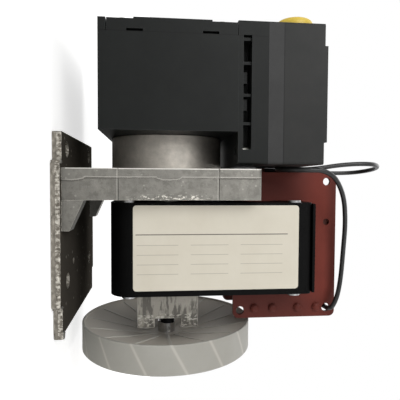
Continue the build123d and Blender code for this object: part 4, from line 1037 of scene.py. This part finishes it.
# %% End strips
strip_gap, strip_edge, strip_end = 0.0007, 0.0003, 0.0005
strip_sink, strip_thick = 0.0001, 0.0013
rib_height = 0.00012
for place, sign in (("front", -1), ("back", 1)):
    inner, outer = sign * (coil_high[1] + strip_gap), sign * (stack_high[1] - strip_edge)
    strip = block(
        "stack_strip_" + place,
        (stack_low[0] + strip_end, min(inner, outer), stack_high[2] - strip_sink),
        (stack_high[0] - strip_end, max(inner, outer), stack_high[2] + strip_thick),
    )
    pick_edges(strip, 0, 0.01)
    bpy.ops.mesh.subdivide(number_cuts=43)
    bpy.ops.object.mode_set(mode="OBJECT")
    rows = sorted({round(vertex.co.x, 6) for vertex in strip.data.vertices})
    raised = set(rows[2:-2:2])
    top = stack_high[2] + strip_thick - near
    bpy.ops.object.mode_set(mode="EDIT")
    pick(strip, lambda point: round(point.x, 6) in raised and point.z > top)
    bpy.ops.transform.translate(value=(0, 0, rib_height))
    bpy.ops.object.mode_set(mode="OBJECT")
    rounding = strip.modifiers.new("rounding", "BEVEL")
    rounding.width = 0.0003
    rounding.segments = 2
    rounding.limit_method = "ANGLE"
    rounding.angle_limit = math.radians(60)
    dress(strip, "pump_body", varnished_stack)

# %% [markdown]
# ## Casting marks on the foot
# The foot's cut rim is lumpy: flash squeezed out of the mould was only snapped off, a few
# beads were left at the steps, and a lug stands at the near corner. A finely divided block
# over each straight of the rim is pushed in and out by a clouds texture in a Displace
# modifier, which always gives the same bumps.

# %% Rim flash
bumps = bpy.data.textures.new("casting_bumps", "CLOUDS")
bumps.noise_scale = 0.0016
bumps.noise_depth = 2


def roughen(piece, strength):
    """Pushes a piece in and out by the bumps, which lie fixed in the room."""
    pushed = piece.modifiers.new("pushed", "DISPLACE")
    pushed.texture = bumps
    pushed.texture_coords = "GLOBAL"
    pushed.strength = strength
    pushed.mid_level = 0.5


plate_top = 0.004
step_in = 0.0039
corner_x = 0.0006
flash_out, flash_in, flash_foot, flash_over = 0.00018, 0.0006, 0.0003, 0.0001
rim_runs = [
    ("rim_flash_middle", -0.0240, 0.0397, foot_low[1], 120),
    ("rim_flash_top", foot_low[0] + corner_x, -0.0246, foot_low[1] + step_in, 28),
    ("rim_flash_bottom", 0.0403, foot_high[0] - corner_x, foot_low[1] + step_in, 26),
]
for name, start_x, end_x, rim_y, cuts in rim_runs:
    low = (start_x, rim_y - flash_out, flash_foot)
    flash = block(name, low, (end_x, rim_y + flash_in, plate_top + flash_over))
    pick_edges(flash, 0, 0.005)
    bpy.ops.mesh.subdivide(number_cuts=cuts)
    pick_edges(flash, 2, 0.002)
    bpy.ops.mesh.subdivide(number_cuts=7)
    bpy.ops.object.mode_set(mode="OBJECT")
    roughen(flash, 0.0011)
    dress(flash, "pump_body", cast_aluminium, smooth=60)

# %% Beads and the corner lug: each has a name, a middle and a size
rim_y, corner = foot_low[1], foot_high[0]
bead_places = [
    ("rim_bead_step", (-0.0246, rim_y + 0.0012, 0.0024), (0.0016, 0.0030, 0.0046)),
    ("rim_bead_notch", (-0.0007, rim_y - 0.0001, 0.0021), (0.0018, 0.0010, 0.0030)),
    ("rim_bead_low", (0.0400, rim_y + 0.0014, 0.0025), (0.0014, 0.0026, 0.0042)),
    ("corner_lug", (corner + 0.0002, rim_y + step_in + 0.0012, 0.0024), (0.0034, 0.0030, 0.0047)),
]
for name, centre, size in bead_places:
    low = [c - s / 2 for c, s in zip(centre, size)]
    high = [c + s / 2 for c, s in zip(centre, size)]
    bead = block(name, low, high)
    bpy.ops.mesh.select_all(action="SELECT")
    bpy.ops.mesh.subdivide(number_cuts=5)
    bpy.ops.object.mode_set(mode="OBJECT")
    softened = bead.modifiers.new("softened", "SMOOTH")
    softened.factor = 0.6
    softened.iterations = 4
    roughen(bead, 0.0005)
    dress(bead, "pump_body", cast_aluminium, smooth=60)
